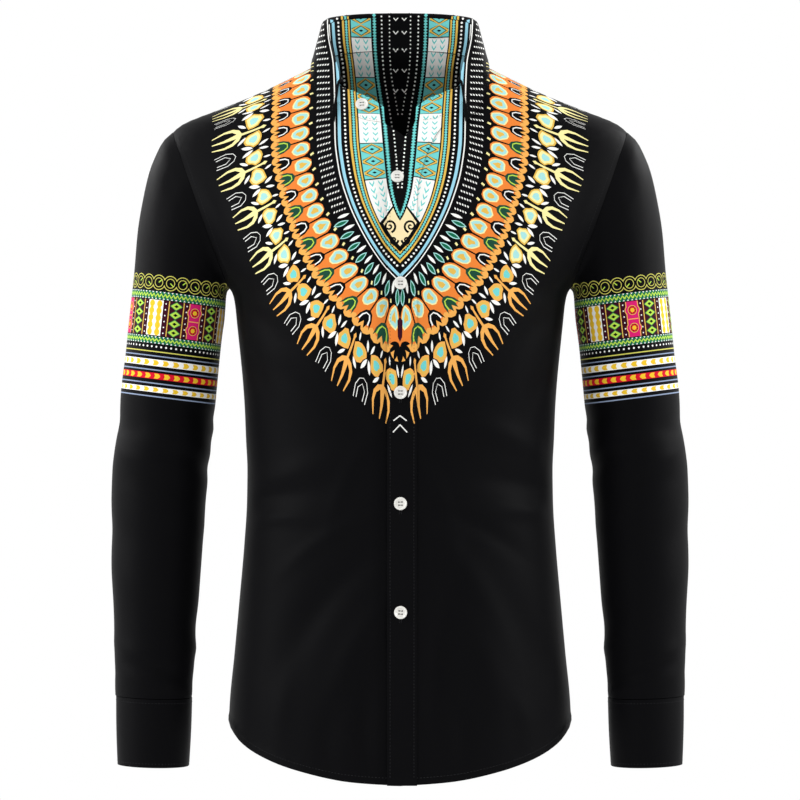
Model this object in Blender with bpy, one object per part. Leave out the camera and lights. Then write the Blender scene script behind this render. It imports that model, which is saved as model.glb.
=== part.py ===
"""Long-sleeved button-up shirt with a neck print, in the hollow form it has when worn.

Every length is in millimetres until the meshes are made, which are in metres.
X runs to the viewer's right, the front of the shirt faces -Y and Z is up.
The origin lies between the two high points of the shoulders.
"""
from collections import namedtuple
from math import cos, pi, radians, sin, sqrt

import bmesh
import bpy
import numpy as np
from mathutils import Vector

MM = 0.001

# Cloth
CLOTH = 1.2
PLACKET_CLOTH = 1.0
COLLAR_CLOTH = 1.5
CUFF_CLOTH = 1.6
GAP = 0.3
FRONT_LAP_STEP = 1.8
LAP_STARTS_AT = 26.0
LAP_FULL_AT = 14.0

# Front opening, neck and hem
PLACKET_WIDTH = 29.6
SIDE_NECK_Z = 8.5
UNDERARM_ROW_Z = -236.0
TAIL_Z = -717.5
SIDE_HEM_Z = -662.0

# Armhole, seen from the front as a straight slanted line
SHOULDER_TIP = (232.0, -61.0)
UNDERARM = (174.0, -221.0)

# Mesh counts
ARMHOLE_ROWS = 12
BODY_ROWS = 18
FRONT_COLUMNS = 14
BACK_COLUMNS = 14
BACK_NECK_STEPS = 2
PLACKET_COLUMNS = 2
SLEEVE_SIDES = 2 * ARMHOLE_ROWS
CUFF_SIDES = 30
CUFF_ROWS = 3

# Body: half width from the front and the depth of the front and back halves.
# Between the shoulder tip and the underarm the half width is that of the full
# shoulder, which the armhole then cuts. Squareness 2 is an oval, more is fuller.
Section = namedtuple("Section", "z half_width front_depth back_depth squareness")
TORSO = [
    Section(27.0, 70.0, 50.0, 48.0, 2.3),
    Section(21.0, 76.0, 52.0, 49.5, 2.3),
    Section(14.5, 80.6, 54.5, 52.0, 2.3),
    Section(8.5, 83.5, 57.0, 55.0, 2.3),
    Section(6.0, 88.0, 58.0, 57.0, 2.3),
    Section(-8.0, 116.0, 62.5, 65.0, 2.3),
    Section(-23.5, 149.0, 67.0, 74.0, 2.3),
    Section(-38.8, 187.0, 71.5, 82.0, 2.3),
    Section(-53.0, 222.0, 76.5, 89.0, 2.3),
    Section(-61.0, 232.0, 79.5, 92.5, 2.3),
    Section(-75.0, 240.5, 85.5, 98.0, 2.3),
    Section(-90.0, 244.0, 92.0, 103.0, 2.3),
    Section(-110.0, 243.0, 101.0, 109.0, 2.3),
    Section(-130.0, 236.0, 110.0, 114.0, 2.32),
    Section(-150.0, 226.0, 117.5, 117.5, 2.36),
    Section(-170.0, 213.5, 123.0, 119.5, 2.42),
    Section(-190.0, 199.0, 127.0, 120.5, 2.5),
    Section(-205.0, 187.5, 129.0, 120.5, 2.6),
    Section(-215.0, 179.0, 130.0, 120.5, 2.68),
    Section(-221.0, 174.0, 130.5, 120.3, 2.74),
    Section(-224.0, 171.8, 130.5, 120.2, 2.78),
    Section(-230.0, 169.9, 130.5, 120.0, 2.82),
    Section(-240.0, 168.2, 130.5, 119.7, 2.86),
    Section(-253.0, 166.9, 130.0, 119.0, 2.86),
    Section(-283.6, 163.7, 127.5, 116.0, 2.74),
    Section(-314.2, 160.7, 124.5, 112.0, 2.6),
    Section(-344.8, 158.6, 121.5, 108.0, 2.5),
    Section(-375.4, 157.4, 119.0, 105.0, 2.42),
    Section(-406.0, 156.0, 117.5, 104.0, 2.4),
    Section(-436.6, 156.4, 117.0, 105.5, 2.4),
    Section(-482.5, 159.2, 117.5, 111.0, 2.4),
    Section(-528.4, 163.2, 118.5, 116.5, 2.4),
    Section(-589.6, 168.8, 120.0, 121.5, 2.4),
    Section(-650.8, 174.4, 121.0, 123.0, 2.4),
    Section(-720.0, 176.0, 121.5, 123.0, 2.4),
]

# Neckline points from the middle to the side neck point
NeckPoint = namedtuple("NeckPoint", "x z")
FRONT_NECK = [
    NeckPoint(15.5, -56.0),
    NeckPoint(30.3, -54.5),
    NeckPoint(45.1, -49.5),
    NeckPoint(57.0, -41.5),
    NeckPoint(67.5, -29.5),
    NeckPoint(75.5, -15.5),
    NeckPoint(80.5, -3.0),
    NeckPoint(83.0, 4.8),
    NeckPoint(83.5, 8.5),
]
BACK_NECK = [
    NeckPoint(0.0, 27.0),
    NeckPoint(38.0, 25.0),
    NeckPoint(62.0, 21.0),
    NeckPoint(78.0, 14.5),
    NeckPoint(83.5, 8.5),
]

# Tail of the shirt from the middle to the side seam
HemPoint = namedtuple("HemPoint", "x z")
HEM = [
    HemPoint(0.0, -717.5),
    HemPoint(50.0, -714.0),
    HemPoint(100.0, -704.5),
    HemPoint(136.0, -693.0),
    HemPoint(160.0, -680.0),
    HemPoint(176.0, -662.0),
]

# Middle edge of each front, measured from the middle towards its own side
OpeningEdge = namedtuple("OpeningEdge", "z upper_front under_front")
OPENING = [
    OpeningEdge(-56.0, 15.5, 15.5),
    OpeningEdge(-61.0, 12.5, 8.0),
    OpeningEdge(-68.0, 7.0, -2.5),
    OpeningEdge(-82.0, 0.0, -12.0),
    OpeningEdge(-98.0, -6.0, -15.0),
    OpeningEdge(-135.0, -12.8, -15.0),
    OpeningEdge(-720.0, -12.8, -15.0),
]

# Largest folds of the body: a soft ridge (positive height) or trough (negative)
# along a line through x, z at an angle from level; reach and spread are half sizes.
Fold = namedtuple("Fold", "x z angle reach spread height")
FRONT_FOLDS = [
    Fold(-128.0, -430.0, 12.0, 45.0, 12.0, -3.2),
    Fold(-100.0, -405.0, 20.0, 55.0, 15.0, 2.6),
    Fold(-62.0, -520.0, 48.0, 70.0, 14.0, -2.8),
    Fold(-43.0, -577.0, 60.0, 62.0, 14.0, 3.4),
    Fold(-96.0, -560.0, 66.0, 70.0, 20.0, -3.2),
    Fold(112.0, -372.0, -22.0, 45.0, 13.0, 3.0),
    Fold(118.0, -418.0, -14.0, 48.0, 13.0, -3.2),
    Fold(66.0, -505.0, -52.0, 75.0, 15.0, 3.0),
    Fold(138.0, -590.0, -68.0, 60.0, 16.0, -3.4),
    Fold(92.0, -610.0, -76.0, 66.0, 18.0, 3.4),
    Fold(128.0, -268.0, 44.0, 46.0, 12.0, -2.6),
    Fold(-130.0, -262.0, -42.0, 46.0, 12.0, -2.8),
    Fold(36.0, -600.0, 86.0, 85.0, 12.0, -2.4),
    Fold(-34.0, -655.0, 88.0, 52.0, 11.0, -2.4),
]
BACK_FOLDS = [
    Fold(-62.0, -452.0, 16.0, 70.0, 15.0, -3.8),
    Fold(58.0, -430.0, -20.0, 66.0, 14.0, -3.6),
    Fold(8.0, -398.0, 4.0, 80.0, 16.0, 3.6),
    Fold(-88.0, -560.0, 74.0, 80.0, 20.0, 4.0),
    Fold(70.0, -590.0, -80.0, 80.0, 18.0, 4.0),
    Fold(-12.0, -610.0, 88.0, 85.0, 20.0, -3.6),
    Fold(112.0, -300.0, 52.0, 70.0, 15.0, -3.4),
    Fold(-110.0, -310.0, -56.0, 70.0, 16.0, -3.4),
    Fold(4.0, -170.0, 88.0, 80.0, 26.0, -2.6),
]
SEAM_CALM = 24.0

# Sleeve outline from the front
EdgePoint = namedtuple("EdgePoint", "z x")
SLEEVE_OUTER = [
    EdgePoint(-61.0, 232.0),
    EdgePoint(-69.4, 241.2),
    EdgePoint(-84.7, 249.4),
    EdgePoint(-100.0, 255.5),
    EdgePoint(-130.6, 262.7),
    EdgePoint(-161.2, 267.8),
    EdgePoint(-207.0, 271.8),
    EdgePoint(-253.0, 276.9),
    EdgePoint(-283.6, 280.0),
    EdgePoint(-329.5, 285.6),
    EdgePoint(-352.0, 286.8),
    EdgePoint(-380.0, 291.0),
    EdgePoint(-406.0, 294.2),
    EdgePoint(-440.0, 295.0),
    EdgePoint(-497.8, 294.4),
    EdgePoint(-559.0, 291.4),
    EdgePoint(-620.0, 290.0),
    EdgePoint(-650.8, 288.2),
    EdgePoint(-710.0, 287.0),
]
SLEEVE_INNER = [
    EdgePoint(-221.0, 174.0),
    EdgePoint(-223.4, 176.3),
    EdgePoint(-230.0, 177.6),
    EdgePoint(-240.0, 178.3),
    EdgePoint(-253.0, 179.4),
    EdgePoint(-268.0, 181.6),
    EdgePoint(-314.2, 186.4),
    EdgePoint(-344.8, 189.2),
    EdgePoint(-375.4, 191.9),
    EdgePoint(-406.0, 195.2),
    EdgePoint(-436.6, 198.4),
    EdgePoint(-497.8, 202.5),
    EdgePoint(-559.0, 206.6),
    EdgePoint(-620.0, 210.6),
    EdgePoint(-650.8, 212.7),
    EdgePoint(-710.0, 214.8),
]

# Rings of the sleeve: height on the outer and the inner edge, half depth, how
# far the middle lies back, and how much of the armhole's own shape is left
Ring = namedtuple("Ring", "outer_z inner_z half_depth middle_y armhole_share")
SLEEVE_RINGS = [
    Ring(-61.0, -221.0, 60.0, 0.0, 1.0),
    Ring(-67.0, -222.3, 60.5, 0.0, 0.85),
    Ring(-78.0, -224.6, 61.0, 0.0, 0.65),
    Ring(-95.0, -228.5, 61.5, 0.0, 0.45),
    Ring(-118.0, -233.5, 62.0, 0.5, 0.25),
    Ring(-145.0, -240.0, 62.5, 1.0, 0.1),
    Ring(-175.0, -248.5, 62.5, 1.5, 0.0),
    Ring(-206.0, -258.0, 62.5, 2.0, 0.0),
    Ring(-238.0, -270.0, 62.5, 2.5, 0.0),
    Ring(-268.0, -288.0, 62.0, 3.0, 0.0),
    Ring(-298.0, -313.0, 61.5, 4.0, 0.0),
    Ring(-328.0, -341.0, 60.0, 5.0, 0.0),
    Ring(-352.0, -364.0, 58.5, 5.5, 0.0),
    Ring(-376.0, -387.0, 57.0, 5.5, 0.0),
    Ring(-402.0, -412.0, 55.5, 5.0, 0.0),
    Ring(-432.0, -440.0, 53.5, 3.5, 0.0),
    Ring(-464.0, -471.0, 51.5, 1.0, 0.0),
    Ring(-497.0, -503.0, 49.0, -2.5, 0.0),
    Ring(-530.0, -535.0, 46.5, -6.5, 0.0),
    Ring(-563.0, -567.0, 44.0, -10.5, 0.0),
    Ring(-590.0, -593.5, 42.5, -14.0, 0.0),
    Ring(-612.0, -615.0, 41.0, -17.0, 0.0),
    Ring(-634.5, -637.0, 38.5, -20.0, 0.0),
]
CUFF_TOP = Ring(-635.3, -637.8, 38.5, -20.0, 0.0)
CUFF_BOTTOM = Ring(-704.0, -706.0, 38.0, -27.0, 0.0)
CUFF_LAP = radians(38.0)
CUFF_END = radians(252.0)
CUFF_LAP_STEP = CUFF_CLOTH + 0.6

# Folds of the sleeve, by the turn from the outer edge over the front
SleeveFold = namedtuple("SleeveFold", "turn z reach spread height")
SLEEVE_FOLDS = [
    SleeveFold(150.0, -352.0, 46.0, 10.0, -3.0),
    SleeveFold(120.0, -378.0, 56.0, 11.0, 2.6),
    SleeveFold(165.0, -402.0, 42.0, 10.0, -2.8),
    SleeveFold(40.0, -364.0, 34.0, 10.0, -2.2),
    SleeveFold(230.0, -390.0, 60.0, 13.0, -3.0),
    SleeveFold(100.0, -607.0, 60.0, 9.0, -2.0),
    SleeveFold(300.0, -600.0, 60.0, 10.0, -2.0),
]

# Collar from the front end to the middle of the back, one row for each neckline
# point: its top, and where the edge of the turned-down leaf rests on the body
CollarStation = namedtuple("CollarStation", "top_x top_y top_z leaf_x leaf_z")
COLLAR = [
    CollarStation(16.5, -68.0, -40.0, 0.0, 0.0),
    CollarStation(31.0, -66.0, -30.5, 0.0, 0.0),
    CollarStation(46.0, -61.5, -24.0, 0.0, 0.0),
    CollarStation(57.0, -54.5, -15.5, 65.0, -57.0),
    CollarStation(63.5, -45.0, -2.0, 76.0, -46.0),
    CollarStation(68.5, -33.5, 17.0, 84.0, -31.0),
    CollarStation(72.3, -19.0, 36.0, 88.0, -15.0),
    CollarStation(73.8, -6.5, 46.0, 88.5, -2.0),
    CollarStation(74.3, 6.0, 52.0, 87.6, 6.2),
    CollarStation(70.0, 20.0, 57.0, 81.0, 6.5),
    CollarStation(56.0, 33.0, 61.0, 65.0, 9.0),
    CollarStation(34.0, 41.5, 63.5, 40.0, 11.0),
    CollarStation(0.0, 46.0, 64.5, 0.0, 12.5),
]
LEAF_START = 3
LEAF_LIFT = 5.0
LEAF_OVER_NECK = 4.6
LEAF_MIDDLE = 0.55
STAND_ROWS = 3
STAND_RISE = 0.35
FOLD_DROP = 3.0
FOLD_GAP = 0.8

# Turned-over edge of the leaf: outwards from and above the top of the collar
FoldPoint = namedtuple("FoldPoint", "out up")
LEAF_FOLD = [
    FoldPoint(-0.8, -FOLD_DROP),
    FoldPoint(-0.6, 0.2),
    FoldPoint(1.7, 1.5),
    FoldPoint(4.4, 0.1),
    FoldPoint(5.4, -4.0),
]
LEAF_FALL_SHARES = (0.5, 1.0)

# Buttons
BUTTON_HEIGHTS = (-113.5, -219.3, -328.7, -439.5, -547.3)
BUTTON_X = 0.5
BUTTON_CLEARANCE = 0.4
COLLAR_BUTTON_CLEARANCE = 0.8
BUTTON_SIDES = 20
HOLE_RADIUS = 0.8
HOLE_PITCH = 1.55
HOLE_SIDES = 8
LathePoint = namedtuple("LathePoint", "radius height")
BUTTON_PROFILE = [
    LathePoint(5.7, 0.0),
    LathePoint(6.5, 0.6),
    LathePoint(6.5, 1.8),
    LathePoint(6.1, 2.4),
    LathePoint(5.2, 2.4),
    LathePoint(4.3, 1.7),
]
COLLAR_BUTTON_AT = 1
COLLAR_BUTTON_DROP = 0.45
CUFF_BUTTON_TURN = radians(240.0)

# Looks
Finish = namedtuple("Finish", "name colour roughness")
BLACK_CLOTH = Finish("black_cloth", (0.006, 0.006, 0.007), 0.85)
WHITE_BUTTON = Finish("white_button", (0.82, 0.82, 0.80), 0.30)


def smooth_curve(knots, values):
    """A smooth curve through the values that never overshoots them."""
    order = np.argsort(knots)
    at, value = np.asarray(knots, float)[order], np.asarray(values, float)[order]
    span = np.diff(at)
    slope = np.diff(value) / span
    bend = np.zeros_like(value)
    bend[0], bend[-1] = slope[0], slope[-1]
    for i in range(1, len(at) - 1):
        if slope[i - 1] * slope[i] > 0:
            near, far = 2 * span[i] + span[i - 1], span[i] + 2 * span[i - 1]
            bend[i] = (near + far) / (near / slope[i - 1] + far / slope[i])

    def curve(x):
        x = min(max(x, at[0]), at[-1])
        i = min(int(np.searchsorted(at, x, side="right")) - 1, len(at) - 2)
        t = (x - at[i]) / span[i]
        start = (1 + 2 * t) * (1 - t) ** 2 * value[i] + t * (1 - t) ** 2 * span[i] * bend[i]
        end = t * t * (3 - 2 * t) * value[i + 1] + t * t * (t - 1) * span[i] * bend[i + 1]
        return start + end

    return curve


def column_curve(rows, knot, name):
    """The smooth curve of one named column against another."""
    return smooth_curve([getattr(row, knot) for row in rows], [getattr(row, name) for row in rows])


def index_curve(rows, name):
    """The smooth curve of one named column against the row number."""
    return smooth_curve(range(len(rows)), [getattr(row, name) for row in rows])


def ease(t):
    """Soft step from 0 to 1."""
    t = min(max(t, 0.0), 1.0)
    return t * t * (3 - 2 * t)


half_width = column_curve(TORSO, "z", "half_width")
squareness = column_curve(TORSO, "z", "squareness")
depth_of = {-1: column_curve(TORSO, "z", "front_depth"), 1: column_curve(TORSO, "z", "back_depth")}
hem_z = column_curve(HEM, "x", "z")
sleeve_outer_x = column_curve(SLEEVE_OUTER, "z", "x")
sleeve_inner_x = column_curve(SLEEVE_INNER, "z", "x")
folds_of = {-1: FRONT_FOLDS, 1: BACK_FOLDS}


def armhole_x(z):
    """Distance of the armhole from the middle at a height."""
    share = (SHOULDER_TIP[1] - z) / (SHOULDER_TIP[1] - UNDERARM[1])
    return SHOULDER_TIP[0] + share * (UNDERARM[0] - SHOULDER_TIP[0])


def edge_distance(x, z):
    """Distance to the armhole or the side seam, for calm cloth along the seams."""
    edge = armhole_x(z) if SHOULDER_TIP[1] > z > UNDERARM[1] else half_width(z)
    return max(edge - abs(x), 0.0)


def fold_height(x, z, side):
    """How far the folds push the cloth out at a place on the body."""
    total = 0.0
    for fold in folds_of[side]:
        turn = radians(fold.angle)
        along = (x - fold.x) * cos(turn) + (z - fold.z) * sin(turn)
        across = (z - fold.z) * cos(turn) - (x - fold.x) * sin(turn)
        total += fold.height * np.exp(-((along / fold.reach) ** 2) - (across / fold.spread) ** 2)
    return total * ease(edge_distance(x, z) / SEAM_CALM)


def torso_at(x, z, side):
    """Point and outward direction of the body's outside; side is -1 front, 1 back."""
    wide, deep = half_width(z), depth_of[side](z)
    t = min(abs(x) / wide, 1.0)
    power = squareness(z)
    level = t**power
    rest = 1.0 - level
    step = 0.5
    wide_slope = (half_width(z + step) - half_width(z - step)) / (2 * step)
    deep_slope = (depth_of[side](z + step) - depth_of[side](z - step)) / (2 * step)
    out_x = np.sign(x) * power * t ** (power - 1) / wide
    out_y = side * 2 * sqrt(rest) / deep
    out_z = -power * level * wide_slope / wide - 2 * rest * deep_slope / deep
    out = Vector((out_x, out_y, out_z)).normalized()
    point = Vector((x, side * deep * sqrt(rest), z))
    return point + out * fold_height(x, z, side), out


def front_at(x, z, under):
    """The front's outside; the front that lies beneath dips under the other's edge."""
    point, out = torso_at(x, z, -1)
    if under:
        dip = ease((x + LAP_STARTS_AT) / (LAP_STARTS_AT - LAP_FULL_AT))
        point = point - out * dip * FRONT_LAP_STEP
    return point, out


def side_edge(row):
    """The panel's outer edge: the armhole, then the side seam."""
    if row <= ARMHOLE_ROWS:
        middle = (SHOULDER_TIP[1] + UNDERARM[1]) / 2
        z = middle + (SHOULDER_TIP[1] - middle) * cos(pi * row / ARMHOLE_ROWS)
        return armhole_x(z), z
    share = (row - ARMHOLE_ROWS) / BODY_ROWS
    z = UNDERARM[1] + share * (SIDE_HEM_Z - UNDERARM[1])
    return half_width(z), z


def middle_z(row, top):
    """Height of a row at the middle of the panel."""
    if row <= ARMHOLE_ROWS:
        return top + (UNDERARM_ROW_Z - top) * row / ARMHOLE_ROWS
    return UNDERARM_ROW_Z + (TAIL_Z - UNDERARM_ROW_Z) * (row - ARMHOLE_ROWS) / BODY_ROWS


def neck_place(neck, at):
    """x and z along a neckline table by row number, with places between the rows."""
    return index_curve(neck, "x")(at), index_curve(neck, "z")(at)


def shoulder_point(share):
    """Along the shoulder seam from the neck to the tip."""
    z = SIDE_NECK_Z + share * (SHOULDER_TIP[1] - SIDE_NECK_Z)
    return half_width(z), z


def panel_place(column, row, columns, fixed, first_x, neck, neck_steps):
    """x and z of one corner of a half panel, x counted away from the middle.

    fixed lists the distances of the first columns from the middle edge, first_x
    is that edge on this row and neck_steps the columns for each neckline point.
    """
    top_x, top = neck[0]
    neck_columns = (len(neck) - 1) * neck_steps
    rows = ARMHOLE_ROWS + BODY_ROWS
    down = row / rows
    outer_x, outer_z = side_edge(row)
    kept = len(fixed) - 1
    share = max(column - kept, 0) / (columns - kept)
    start = first_x + fixed[min(column, kept)]
    x = start + share * (outer_x - start)
    across = (x - first_x) / (outer_x - first_x)
    z = middle_z(row, top) + across * (outer_z - middle_z(row, top))
    tip_x, tip_z = SHOULDER_TIP
    top_start = top_x + fixed[min(column, kept)]
    plain_x = top_start + share * (tip_x - top_start)
    plain_z = top + (plain_x - top_x) / (tip_x - top_x) * (tip_z - top)
    if column <= neck_columns:
        edge_x, edge_z = neck_place(neck, column / neck_steps)
    else:
        edge_x, edge_z = shoulder_point((column - neck_columns) / (columns - neck_columns))
    fade = (1 - down) ** 4
    x += (edge_x - plain_x) * fade
    z += (edge_z - plain_z) * fade
    straight = TAIL_Z + across * (SIDE_HEM_Z - TAIL_Z)
    z += (hem_z(min(abs(x), HEM[-1].x)) - straight) * down**6
    return x, z


def front_grid(mirror):
    """Points and outward directions of one front, from its middle edge outwards."""
    under = mirror < 0
    upper_edge, under_edge = [column_curve(OPENING, "z", name) for name in ("upper_front", "under_front")]
    fixed = [PLACKET_WIDTH * i / PLACKET_COLUMNS for i in range(PLACKET_COLUMNS + 1)]
    points, outs = [], []
    for row in range(ARMHOLE_ROWS + BODY_ROWS + 1):
        top = middle_z(row, FRONT_NECK[0].z)
        first_x = upper_edge(top)
        wider = first_x - under_edge(top) if under else 0.0
        line, line_out = [], []
        for column in range(FRONT_COLUMNS + 1):
            x, z = panel_place(column, row, FRONT_COLUMNS, fixed, first_x, FRONT_NECK, 1)
            x -= wider * max(1 - column / PLACKET_COLUMNS, 0.0)
            point, out = front_at(mirror * x, z, under)
            line.append(point + Vector((0, -GAP / 2, 0)))
            line_out.append(out)
        points.append(line)
        outs.append(line_out)
    return points, outs


def back_grid():
    """Points and outward directions of the back, from one side to the other."""
    points, outs = [], []
    for row in range(ARMHOLE_ROWS + BODY_ROWS + 1):
        line, line_out = [], []
        for step in range(-BACK_COLUMNS, BACK_COLUMNS + 1):
            x, z = panel_place(abs(step), row, BACK_COLUMNS, [0.0], 0.0, BACK_NECK, BACK_NECK_STEPS)
            point, out = torso_at(np.sign(step) * x, z, 1)
            line.append(point + Vector((0, GAP / 2, 0)))
            line_out.append(out)
        points.append(line)
        outs.append(line_out)
    return points, outs


def ring_points(ring, turns, fold=True):
    """Points round one ring of a sleeve for the right-hand side of the picture."""
    outer = Vector((sleeve_outer_x(ring.outer_z), 0, ring.outer_z))
    inner = Vector((sleeve_inner_x(ring.inner_z), 0, ring.inner_z))
    middle, half = (outer + inner) / 2, (outer - inner) / 2
    points = []
    for turn in turns:
        place = middle + half * cos(turn)
        side = -1 if sin(turn) >= 0 else 1
        depth = side * ring.half_depth * abs(sin(turn))
        if ring.armhole_share:
            hole = (Vector((SHOULDER_TIP[0], 0, SHOULDER_TIP[1])) * (1 + cos(turn))
                    + Vector((UNDERARM[0], 0, UNDERARM[1])) * (1 - cos(turn))) / 2
            own = torso_at(hole.x, hole.z, side)[0].y
            depth += ring.armhole_share * (own - depth)
        place.y = ring.middle_y + depth
        if fold:
            radial = (place - middle - Vector((0, ring.middle_y, 0))).normalized()
            place += radial * sleeve_fold_height(turn, place.z)
        points.append(place)
    return points


def sleeve_fold_height(turn, z):
    """How far the sleeve's folds push the cloth out."""
    total = 0.0
    for fold in SLEEVE_FOLDS:
        around = (turn - radians(fold.turn) + pi) % (2 * pi) - pi
        reach, away = radians(fold.reach), z - fold.z
        total += fold.height * np.exp(-((around / reach) ** 2) - (away / fold.spread) ** 2)
    return total


def grid_outs(points, closed, way=1):
    """Outward directions of a grid of points, its columns joined round when closed."""
    rows, columns = len(points), len(points[0])
    outs = []
    for r in range(rows):
        line = []
        for c in range(columns):
            down = points[min(r + 1, rows - 1)][c] - points[max(r - 1, 0)][c]
            after = (c + 1) % columns if closed else min(c + 1, columns - 1)
            before = c - 1 if closed else max(c - 1, 0)
            line.append(down.cross(points[r][after] - points[r][before]).normalized() * way)
        outs.append(line)
    return outs


def sleeve_grid(mirror):
    """Sleeve rings from the armhole to the cuff with their outward directions."""
    turns = [2 * pi * i / SLEEVE_SIDES for i in range(SLEEVE_SIDES)]
    away = Vector((SHOULDER_TIP[1] - UNDERARM[1], 0, UNDERARM[0] - SHOULDER_TIP[0])).normalized()
    points = [ring_points(ring, turns) for ring in SLEEVE_RINGS]
    outs = grid_outs(points, True, -1)
    points = [[point + away * GAP for point in line] for line in points]
    outs[0] = [seam_out(turn, out) for turn, out in zip(turns, outs[0])]
    return mirrored(points, mirror), mirrored(outs, mirror)


def seam_out(turn, sleeve_out):
    """Shared outward direction of body and sleeve on the armhole seam."""
    middle = (SHOULDER_TIP[1] + UNDERARM[1]) / 2
    z = middle + (SHOULDER_TIP[1] - middle) * cos(turn)
    side = -1 if sin(turn) >= 0 else 1
    return (torso_at(armhole_x(z), z, side)[1] + sleeve_out).normalized()


def armhole_outs():
    """The shared seam directions for the front half and the back half of an armhole."""
    turns = [2 * pi * i / SLEEVE_SIDES for i in range(SLEEVE_SIDES)]
    outs = grid_outs([ring_points(ring, turns) for ring in SLEEVE_RINGS[:2]], True, -1)[0]
    shared = [seam_out(turn, out) for turn, out in zip(turns, outs)]
    front = shared[: ARMHOLE_ROWS + 1]
    back = [shared[-i % SLEEVE_SIDES] for i in range(ARMHOLE_ROWS + 1)]
    return front, back


def mirrored(grid, mirror):
    """The grid for the side of the picture given by the sign."""
    return [[Vector((mirror * p.x, p.y, p.z)) for p in line] for line in grid]


def cuff_grid(mirror):
    """The cuff band, its end lapped over its start at the back."""
    span = 2 * pi + CUFF_LAP
    turns = [CUFF_END - span + span * i / CUFF_SIDES for i in range(CUFF_SIDES + 1)]
    top, bottom = ring_points(CUFF_TOP, turns, False), ring_points(CUFF_BOTTOM, turns, False)
    points = []
    for row in range(CUFF_ROWS + 1):
        share = row / CUFF_ROWS
        points.append([a.lerp(b, share) for a, b in zip(top, bottom)])
    outs = grid_outs(points, False, -1)
    lifts = [ease((turn - CUFF_END + 2 * CUFF_LAP) / (0.8 * CUFF_LAP)) * CUFF_LAP_STEP for turn in turns]
    points = [[p + n * lift for p, n, lift in zip(line, out, lifts)] for line, out in zip(points, outs)]
    return mirrored(points, mirror), mirrored(outs, mirror)


def collar_rings():
    """Neckline, its outward direction and the top, from the right end to the left."""
    side_at, last = len(FRONT_NECK) - 1, len(COLLAR) - 1
    back_places = range(BACK_NECK_STEPS * (last - side_at) + 1)
    places = list(range(side_at)) + [side_at + i / BACK_NECK_STEPS for i in back_places]
    top = [index_curve(COLLAR, name) for name in ("top_x", "top_y", "top_z")]
    sides = []
    for mirror in (1, -1):
        ring = []
        for at in places:
            if at <= side_at:
                x, z = neck_place(FRONT_NECK, at)
                base, out = front_at(mirror * x, z, mirror < 0)
                base.y -= GAP / 2
            else:
                x, z = neck_place(BACK_NECK, last - at)
                base, out = torso_at(mirror * x, z, 1)
                base.y += GAP / 2
            x, y, z = [curve(at) for curve in top]
            ring.append((at, base, out, Vector((mirror * x, y, z))))
        sides.append(ring)
    return sides[0] + sides[1][-2::-1]


def ring_frame(ring, i):
    """Outward and upward directions square to the collar's top line at one place."""
    along = ring[min(i + 1, len(ring) - 1)][-1] - ring[max(i - 1, 0)][-1]
    along.normalize()
    rise = ring[i][-1] - ring[i][1]
    rise = (rise - along * rise.dot(along)).normalized()
    return along.cross(rise), rise


def stand_grid():
    """The collar stand from its top down to the neckline."""
    ring = collar_rings()
    lines = [[] for _ in range(STAND_ROWS + 1)]
    for i, (at, base, _, top) in enumerate(ring):
        out, rise = ring_frame(ring, i)
        covered = ease(at - LEAF_START + 1)
        end = top - rise * covered * (FOLD_DROP + FOLD_GAP) + out * COLLAR_CLOTH / 2
        foot = base + (end - base).normalized() * STAND_RISE
        for row in range(STAND_ROWS + 1):
            lines[row].append(end.lerp(foot, row / STAND_ROWS))
    outs = grid_outs(lines, False)
    panel_outs = [panel_out for _, _, panel_out, _ in ring]
    outs[-1] = [(stand_out + panel_out).normalized() for stand_out, panel_out in zip(outs[-1], panel_outs)]
    return lines, outs


def neck_outs(mirror):
    """Shared outward directions on the neckline for one front, and for the back."""
    from_end = stand_grid()[1][-1][::mirror]
    side_at, middle = len(FRONT_NECK) - 1, len(from_end) // 2
    return from_end[: side_at + 1], from_end[side_at : middle + 1]


def leaf_grid():
    """The leaf from its turned-over edge down to its free edge."""
    ring = collar_rings()
    curves = [index_curve(COLLAR[LEAF_START:], name) for name in ("leaf_x", "leaf_z")]
    side_at = len(FRONT_NECK) - 1
    lines = [[] for _ in range(len(LEAF_FOLD) + 2 * len(LEAF_FALL_SHARES))]
    for i, (at, base, base_out, top) in enumerate(ring):
        if at < LEAF_START:
            continue
        out, rise = ring_frame(ring, i)
        mirror = 1 if i < len(ring) / 2 else -1
        x, z = [curve(at - LEAF_START) for curve in curves]
        rest, rest_out = torso_at(mirror * min(x, half_width(z)), z, -1 if at < side_at else 1)
        edge = rest + rest_out * LEAF_LIFT
        path = [top + out * point.out + rise * point.up for point in LEAF_FOLD]
        clear = (out + base_out).normalized()
        over_neck = path[-1].lerp(edge, LEAF_MIDDLE)
        over_neck += clear * max(LEAF_OVER_NECK - (over_neck - base).dot(clear), 0.0)
        path += [path[-1].lerp(over_neck, share) for share in LEAF_FALL_SHARES]
        path += [over_neck.lerp(edge, share) for share in LEAF_FALL_SHARES]
        for line, point in zip(lines, path):
            line.append(point)
    return lines, grid_outs(lines, False)


def add_object(name, mesh_data, finish):
    """Turn a bmesh in millimetres into a named object in metres."""
    bmesh.ops.recalc_face_normals(mesh_data, faces=mesh_data.faces)
    if mesh_data.calc_volume(signed=True) < 0:
        bmesh.ops.reverse_faces(mesh_data, faces=mesh_data.faces)
    for vertex in mesh_data.verts:
        vertex.co *= MM
    mesh = bpy.data.meshes.new(name)
    mesh_data.to_mesh(mesh)
    mesh_data.free()
    mesh.materials.append(material(finish))
    part = bpy.data.objects.new(name, mesh)
    bpy.context.scene.collection.objects.link(part)
    return part


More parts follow.
